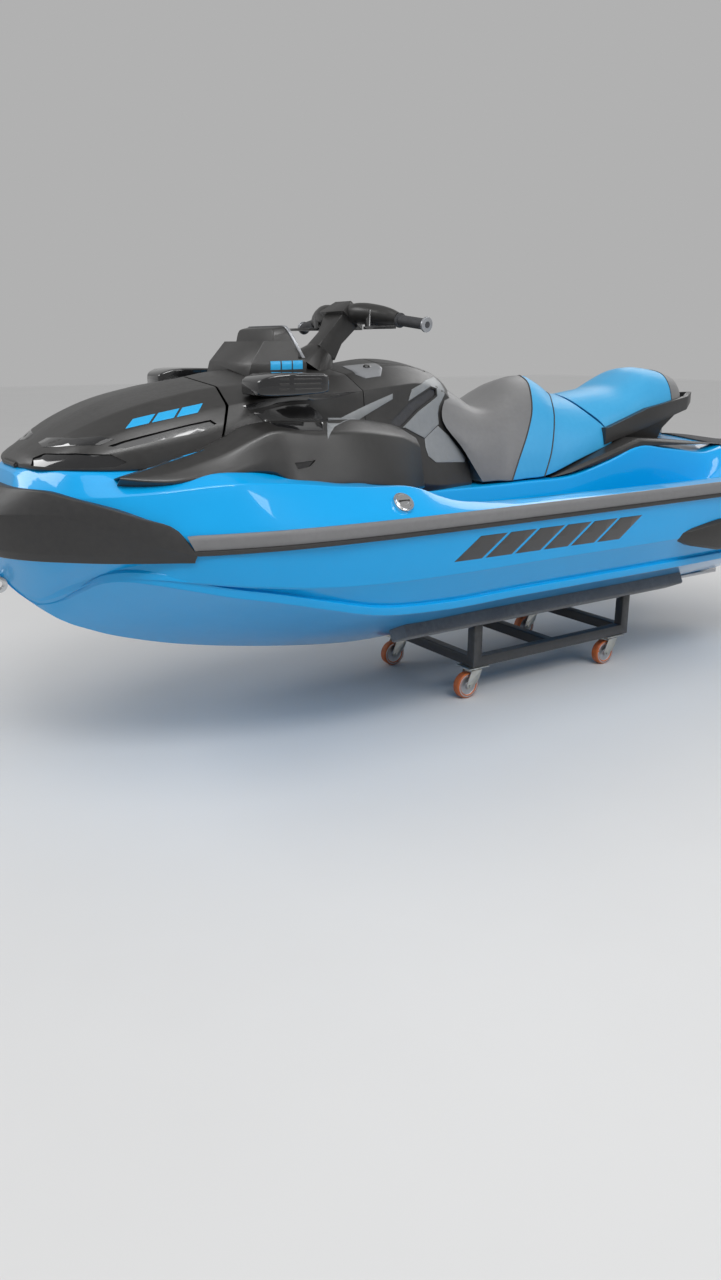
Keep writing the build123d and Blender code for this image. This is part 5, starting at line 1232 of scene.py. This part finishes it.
SEAT_REAR = [
    [(-0.640, 0.206, 0.930), (-0.632, 0.202, 0.955), (-0.606, 0.188, 0.990), (-0.560, 0.150, 1.030),
     (-0.535, 0.110, 1.060), (-0.530, 0.060, 1.078), (-0.542, 0.000, 1.086)],
    [(-0.720, 0.202, 0.966), (-0.712, 0.199, 0.986), (-0.690, 0.186, 1.020), (-0.668, 0.152, 1.056),
     (-0.660, 0.112, 1.080), (-0.660, 0.060, 1.094), (-0.665, 0.000, 1.100)],
    [(-0.800, 0.196, 0.994), (-0.795, 0.193, 1.010), (-0.785, 0.180, 1.046), (-0.780, 0.150, 1.080),
     (-0.778, 0.112, 1.102), (-0.778, 0.060, 1.112), (-0.780, 0.000, 1.116)],
    [(-0.850, 0.192, 1.010), (-0.846, 0.189, 1.026), (-0.840, 0.176, 1.066), (-0.835, 0.148, 1.104),
     (-0.832, 0.112, 1.126), (-0.830, 0.060, 1.137), (-0.828, 0.000, 1.140)],
    [(-0.930, 0.186, 1.026), (-0.928, 0.183, 1.042), (-0.922, 0.170, 1.086), (-0.918, 0.142, 1.132),
     (-0.915, 0.108, 1.158), (-0.913, 0.060, 1.174), (-0.912, 0.000, 1.179)],
    [(-1.040, 0.170, 1.046), (-1.040, 0.167, 1.062), (-1.042, 0.156, 1.098), (-1.046, 0.130, 1.136),
     (-1.050, 0.100, 1.158), (-1.052, 0.056, 1.170), (-1.054, 0.000, 1.174)],
    [(-1.110, 0.152, 1.056), (-1.112, 0.149, 1.068), (-1.118, 0.138, 1.094), (-1.124, 0.114, 1.122),
     (-1.128, 0.088, 1.138), (-1.130, 0.050, 1.148), (-1.130, 0.000, 1.152)],
    [(-1.150, 0.122, 1.060), (-1.153, 0.120, 1.068), (-1.158, 0.110, 1.086), (-1.162, 0.090, 1.104),
     (-1.164, 0.070, 1.114), (-1.165, 0.040, 1.120), (-1.165, 0.000, 1.122)],
]
BLUE_FROM_ROW = 5
TAIL_CAP_FROM_ROW = 5
SEAT_SOFT = [0.05, 0.05, 0.04, 0.05, 0.03, 0.006]


def seat(name, rows, colours):
    """A padded seat. colours is a list of (first control row, material index)."""
    bm = bmesh.new()
    closed = []
    for row in rows:
        base = Vector(row[0])
        inner = Vector((base.x, base.y - 0.02, base.z + 0.001))
        closed.append([Vector(p) for p in row[::-1]] + [inner])
    lines = []
    part, knots = stations_with_rows(closed, 0.022)
    for line in part:
        lines.append(rounded(line, SEAT_SOFT, 2, 3))
    verts, bands = woven(bm, lines)
    owner = [0] * len(bands)
    for first_row, index in colours:
        for k in range(len(bands)):
            if k >= knots[first_row]:
                owner[k] = index
    for band, index in zip(bands, owner):
        for face in band:
            face.material_index = index
    cap(bm, verts[0])
    cap(bm, list(reversed(verts[-1])))
    bm.faces.ensure_lookup_table()
    bm.faces[-1].material_index = owner[-1]
    bm.faces[-2].material_index = owner[0]
    mirrored(bm)
    return as_object(bm, name)


def stations_with_rows(rows, spacing):
    """Like stations, and says at which in-between row each control row lies."""
    knots = [0.0]
    for a, b in zip(rows, rows[1:]):
        step = sum((Vector(q) - Vector(p)).length for p, q in zip(a, b)) / len(a)
        knots.append(knots[-1] + max(step, 1e-5))
    places = [0]
    for i in range(len(rows) - 1):
        places.append(places[-1] + max(1, min(24, math.ceil((knots[i + 1] - knots[i]) / spacing))))
    return stations(rows, spacing), places


def seats():
    front = seat("front_seat_pad", SEAT_FRONT, [(0, 0), (BLUE_FROM_ROW, 1)])
    front.data.materials.append(SEAT_GREY)
    front.data.materials.append(SEAT_BLUE)
    place(front, "root", "seat_vinyl", replaces=("seat_front",), angle=50.0)
    rear = seat("rear_seat_pad", SEAT_REAR, [(0, 0), (TAIL_CAP_FROM_ROW, 1)])
    rear.data.materials.append(SEAT_BLUE)
    rear.data.materials.append(SEAT_GREY)
    place(rear, "root", "seat_vinyl", replaces=("seat_rear",), angle=50.0)
    piping(SEAT_FRONT, (5, 7), 0.0028, "front_seat_piping")
    piping(SEAT_REAR, (5,), 0.0022, "rear_seat_piping")


def piping(rows, picks, radius, name):
    """Sewn cord along chosen control rows, laid on the pad."""
    bm = bmesh.new()
    for pick in picks:
        row = [Vector(p) for p in rows[pick][::-1]]
        half = rounded(row, SEAT_SOFT[:5], 2, 3)
        line = half[::-1] + [Vector((p.x, -p.y, p.z)) for p in half[1:]]
        tube_into(bm, line, radius, 8)
    obj = as_object(bm, name, weld=1e-6)
    return place(obj, "root", "seat_vinyl", BUMPER_BLACK)


# Handlebar

def recoloured(obj, material, test):
    """Gives another finish to the faces whose middle passes the test."""
    obj.data.materials.append(material)
    index = len(obj.data.materials) - 1
    for face in obj.data.polygons:
        if test(face.center):
            face.material_index = index


# Cover over each arm of the bar: its line, and its radius at even steps along it
BAR_COVER = [(0.461, 0.030, 1.3690), (0.458, 0.100, 1.3700), (0.440, 0.160, 1.3640), (0.423, 0.215, 1.3560),
             (0.415, 0.250, 1.3500)]
COVER_RADII = [0.028, 0.033, 0.036, 0.037, 0.036, 0.034, 0.030, 0.022]


def handlebar():
    def girth(t):
        spot = t * (len(COVER_RADII) - 1)
        k = min(int(spot), len(COVER_RADII) - 2)
        return lerp(COVER_RADII[k], COVER_RADII[k + 1], spot - k)

    cover = tube("bar_covers", smooth_line(BAR_COVER, 0.008), girth, 24, squash=0.85)
    place(both_sides(cover), "steering", "bar_black", SATIN, angle=40.0)
    bar = softened("handlebar", 0.0015, "bar_black", GRIP)
    reach = max(v.co.y for v in bar.data.vertices)
    recoloured(bar, SILVER, lambda p: abs(p.y) > reach - 0.0095)
    faces = [p for p in bar.data.polygons if p.center.y > reach - 0.004 and p.normal.y > 0.7]
    face = max(faces, key=lambda p: p.area)
    out = face.normal.copy()
    plug = turned("bar_end_plugs", [(-0.006, 0.0100), (0.0005, 0.0100), (0.0005, 0.0010)], face.center + out * 0.0004,
                  out, 20)
    place(both_sides(plug), "steering", "bar_black", GRIP)


# Gauge: its housing faces the rider, its top further ahead than its foot

GAUGE_BARS = [(0.838, 0.150, 1.224), (0.706, 0.150, 1.226), (0.694, 0.150, 1.200), (0.826, 0.150, 1.198)]
GAUGE_FOOT = (0.700, 1.2325)
GAUGE_LEAN = 0.52
GAUGE_BROW_Z = 1.283
# Housing seen from the rear, port half: y and z of its edge
GAUGE_EDGE = [(0.1463, 1.2325), (0.1400, 1.268), (0.1335, 1.306), (0.1300, 1.319), (0.1215, 1.328), (0.1080, 1.3305)]


def gauge_loop(inset, ahead, ahead_top=None):
    """The housing's edge, drawn in by inset and set ahead of its rear face."""
    foot_x, foot_z = GAUGE_FOOT
    rise = GAUGE_EDGE[-1][1] - foot_z
    half = []
    for y, z in GAUGE_EDGE:
        t = (z - foot_z) / rise
        z = foot_z + (z - foot_z) * (1 - inset / rise)
        half.append((foot_x + GAUGE_LEAN * (z - foot_z) + lerp(ahead, ahead_top or ahead, t), y - inset, z))
    return [Vector(p) for p in half] + [Vector((x, -y, z)) for x, y, z in reversed(half)]


def gauge_shell(name, loops, closed):
    bm = bmesh.new()
    verts, _ = woven(bm, loops, closed_ring=True)
    if closed:
        bm.faces.new(verts[0])
        bm.faces.new(list(reversed(verts[-1])))
    else:
        for a in range(len(verts[0])):
            b = (a + 1) % len(verts[0])
            bm.faces.new((verts[-1][a], verts[-1][b], verts[0][b], verts[0][a]))
    return as_object(bm, name)


def gauge():
    hood = softened("gauge_hood", 0.006, "gloss_black", SATIN)
    cropped(hood, (0.0, 0.0, GAUGE_BROW_Z), (0.0, 0.0, 1.0))
    cropped(hood, (GAUGE_FOOT[0] + 0.006, 0.0, GAUGE_FOOT[1]), (-1.0, 0.0, GAUGE_LEAN))
    housing = gauge_shell("gauge_housing", [gauge_loop(0.002, 0.006), gauge_loop(0.010, 0.110, 0.050)], True)
    eased(housing, 0.004, segments=3)
    place(housing, "root", "gloss_black", SATIN, angle=40.0)
    rim = gauge_shell("gauge_rim_bright", [gauge_loop(0.0, -0.002), gauge_loop(0.0, 0.011), gauge_loop(0.012, 0.011),
                                           gauge_loop(0.012, -0.002)], False)
    eased(rim, 0.002, segments=3)
    place(rim, "root", "silver_trim", SILVER, replaces=("gauge_rim",), angle=40.0)
    glass = gauge_shell("gauge_glass", [gauge_loop(0.013, 0.002), gauge_loop(0.013, 0.008)], True)
    place(glass, "root", "display_glass", GLASS, replaces=("gauge_display",))
    tree = host_tree(hood)
    for k, outline in enumerate(slanted_bars(GAUGE_BARS, 3)):
        plate(f"gauge_bar_{k}", tree, outline, (0, -1, 0), "root", "gloss_black", BAR_BLUE, high=0.001)


# Fuel cap: rows of distance along its axis and radius
FUEL_CAP = (0.625, 0.573, 0.828)
FUEL_CAP_OUT = (0.0, 0.69, 0.724)
CAP_PROFILE = [
    (-0.024, 0.028), (-0.010, 0.028), (-0.010, 0.034), (0.003, 0.034), (0.0055, 0.0325), (0.0055, 0.0300),
    (0.0085, 0.0290), (0.0100, 0.0270), (0.0100, 0.0240), (0.0080, 0.0220), (0.0080, 0.0140), (0.0095, 0.0125),
    (0.0095, 0.0020)]


def fuel_cap():
    cap_part = turned("fuel_cap_turned", CAP_PROFILE, FUEL_CAP, FUEL_CAP_OUT, 48)
    place(cap_part, "root", "cap_chrome", CHROME, replaces=("fuel_cap",))
    axis = Vector(FUEL_CAP_OUT).normalized()
    side = Vector((1, 0, 0))
    up = axis.cross(side)
    bm = bmesh.new()
    middle = Vector(FUEL_CAP) + axis * 0.0088
    ridge = [(-0.021, -0.005), (0.021, -0.005), (0.021, 0.005), (-0.021, 0.005)]
    low = [bm.verts.new(middle + side * a + up * b - axis * 0.003) for a, b in ridge]
    high = [bm.verts.new(middle + side * a * 0.92 + up * b * 0.6 + axis * 0.001) for a, b in ridge]
    bm.faces.new(high)
    for k in range(4):
        bm.faces.new((low[k], low[(k + 1) % 4], high[(k + 1) % 4], high[k]))
    bm.faces.new(low[::-1])
    grip = as_object(bm, "fuel_cap_grip", weld=1e-6)
    eased(grip, 0.0006)
    place(grip, "root", "cap_chrome", GLOSS)


# Nodes that keep their own form: node, width of the eased edge, slot, finish
CART = [
    ("cart_frame", 0.003, "cart_paint", POWDER), ("bunks", 0.008, "bunk_carpet", CARPET),
    ("caster_plates", 0.001, "zinc", ZINC)]
PLAIN = [
    ("steering_neck", 0.006, "cowl_black", SATIN), ("steering_stem", 0.016, "bar_black", SATIN),
    ("handlebar_pad", 0.014, "cowl_black", SATIN),
    ("hand_levers", 0.002, "bar_black", GLOSS), ("bin_tub", 0.002, "cowl_black", SATIN),
    ("jet_duct", 0.002, "hull_gelcoat", BLUE),
    ("rear_trim", 0.004, "cowl_black", SATIN), ("grab_handle", 0.006, "cowl_black", SATIN),
    ("tail_base", 0.004, "cowl_black", SATIN), ("tow_eye", 0.003, "steel", STEEL),
    ("footwell_mats", 0.0015, "mat_foam", FOAM),
    ("sponsons", 0.006, "cowl_black", SATIN), ("ride_plate", 0.002, "pump_alloy", ALLOY),
    ("intake_grate", 0.0015, "pump_alloy", ALLOY), ("pump_housing", 0.002, "pump_alloy", ALLOY),
    ("pump_stator", 0.001, "pump_alloy", ALLOY), ("impeller", 0.001, "steel", STEEL),
    ("steering_nozzle", 0.0015, "pump_alloy", ALLOY), ("reverse_bucket", 0.0015, "cowl_black", SATIN),
    ("boarding_ladder", 0.001, "bar_black", POWDER), ("ladder_brackets", 0.001, "bar_black", POWDER),
    ("bow_eye", 0.002, "steel", STEEL), ("stern_eyes", 0.002, "steel", STEEL),
    ("engine_block", 0.012, "engine_iron", IRON)]


def carried_over():
    for node, width, slot, material in CART + PLAIN:
        softened(node, width, slot, material)


def casters():
    for node in NODES:
        if node.startswith("caster_fork"):
            softened(node, 0.0008, "zinc", ZINC)
        if node.startswith("caster_wheel"):
            wheel = softened(node, 0.0015, "wheel_orange", ORANGE)
            low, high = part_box(node)
            hub = (Vector(low) + Vector(high)) / 2
            recoloured(wheel, ALLOY, lambda p: math.hypot(p.x - hub.x, p.z - hub.z) < 0.0345)


# Camera, light and floor

def camera():
    lens = bpy.data.cameras.new("camera")
    lens.lens = 27.03
    lens.sensor_width = 36.0
    lens.clip_end = 200.0
    obj = bpy.data.objects.new("camera", lens)
    pitch, heading = math.radians(17.03), math.radians(-123.78)
    forward = Vector((math.cos(pitch) * math.cos(heading), math.cos(pitch) * math.sin(heading), -math.sin(pitch)))
    obj.location = (2.301, 2.852, 1.270)
    obj.rotation_euler = forward.to_track_quat("-Z", "Y").to_euler()
    bpy.context.scene.collection.objects.link(obj)
    bpy.context.scene.camera = obj


def lamp(name, where, aim, size, watts):
    light = bpy.data.lights.new(name, "AREA")
    light.shape = "RECTANGLE"
    light.size, light.size_y = size
    light.energy = watts
    obj = bpy.data.objects.new(name, light)
    obj.location = where
    obj.rotation_euler = (Vector(aim) - Vector(where)).to_track_quat("-Z", "Y").to_euler()
    bpy.context.scene.collection.objects.link(obj)


def studio():
    scene = bpy.context.scene
    scene.view_settings.view_transform = "Standard"
    world = bpy.data.worlds.new("studio")
    world.use_nodes = True
    tree = world.node_tree
    tree.nodes.clear()
    out = add(tree, "ShaderNodeOutputWorld")
    backdrop = add(tree, "ShaderNodeBackground")
    backdrop.inputs["Color"].default_value = (0.86, 0.86, 0.86, 1.0)
    backdrop.inputs["Strength"].default_value = 0.42
    far = add(tree, "ShaderNodeBackground")
    far.inputs["Color"].default_value = (0.44, 0.44, 0.44, 1.0)
    seen = add(tree, "ShaderNodeLightPath")
    blend = add(tree, "ShaderNodeMixShader")
    tree.links.new(seen.outputs["Is Camera Ray"], blend.inputs[0])
    tree.links.new(backdrop.outputs[0], blend.inputs[1])
    tree.links.new(far.outputs[0], blend.inputs[2])
    tree.links.new(blend.outputs[0], out.inputs[0])
    scene.world = world
    lamp("key", (1.8, 3.6, 4.6), (0.0, 0.0, 0.8), (3.2, 1.2), 110)
    lamp("strip", (-1.8, 3.8, 3.0), (-0.4, 0.0, 0.9), (3.6, 0.6), 40)
    lamp("fill", (3.8, -2.0, 3.2), (0.6, 0.0, 0.9), (2.4, 1.2), 45)
    lamp("rear", (-4.0, -1.5, 3.5), (-0.5, 0.0, 0.8), (3.0, 2.0), 40)
    sky = bpy.data.lights.new("daylight", "SUN")
    sky.energy = 1.1
    sky.angle = math.radians(60)
    obj = bpy.data.objects.new("daylight", sky)
    obj.rotation_euler = (math.radians(-25), math.radians(12), 0.0)
    scene.collection.objects.link(obj)


def floor():
    bm = bmesh.new()
    bmesh.ops.create_grid(bm, x_segments=2, y_segments=2, size=30.0)
    obj = as_object(bm, "floor")
    made = Finish("pale_floor", (0.62, 0.62, 0.62), 0.85)
    made.tone((0.60, 0.60, 0.60), 0.6, 2.0)
    obj.data.materials.append(made.material)


camera()
studio()
floor()
hull_moulding()
deck_moulding()
rub_rail()
bow_bumper()
front_hood()
fairing_part = fairing()
console_part = console()
lid = glove_lid(console_part)
place(console_part, "root", "cowl_black", SATIN, replaces=("console",), angle=28.0)
place(lid, "glovebox", "cowl_black", SATIN, replaces=("glovebox_lid",), angle=28.0)
side_panels((fairing_part, console_part))
mirrors()
gauge()
handlebar()
fuel_cap()
seats()
carried_over()
casters()
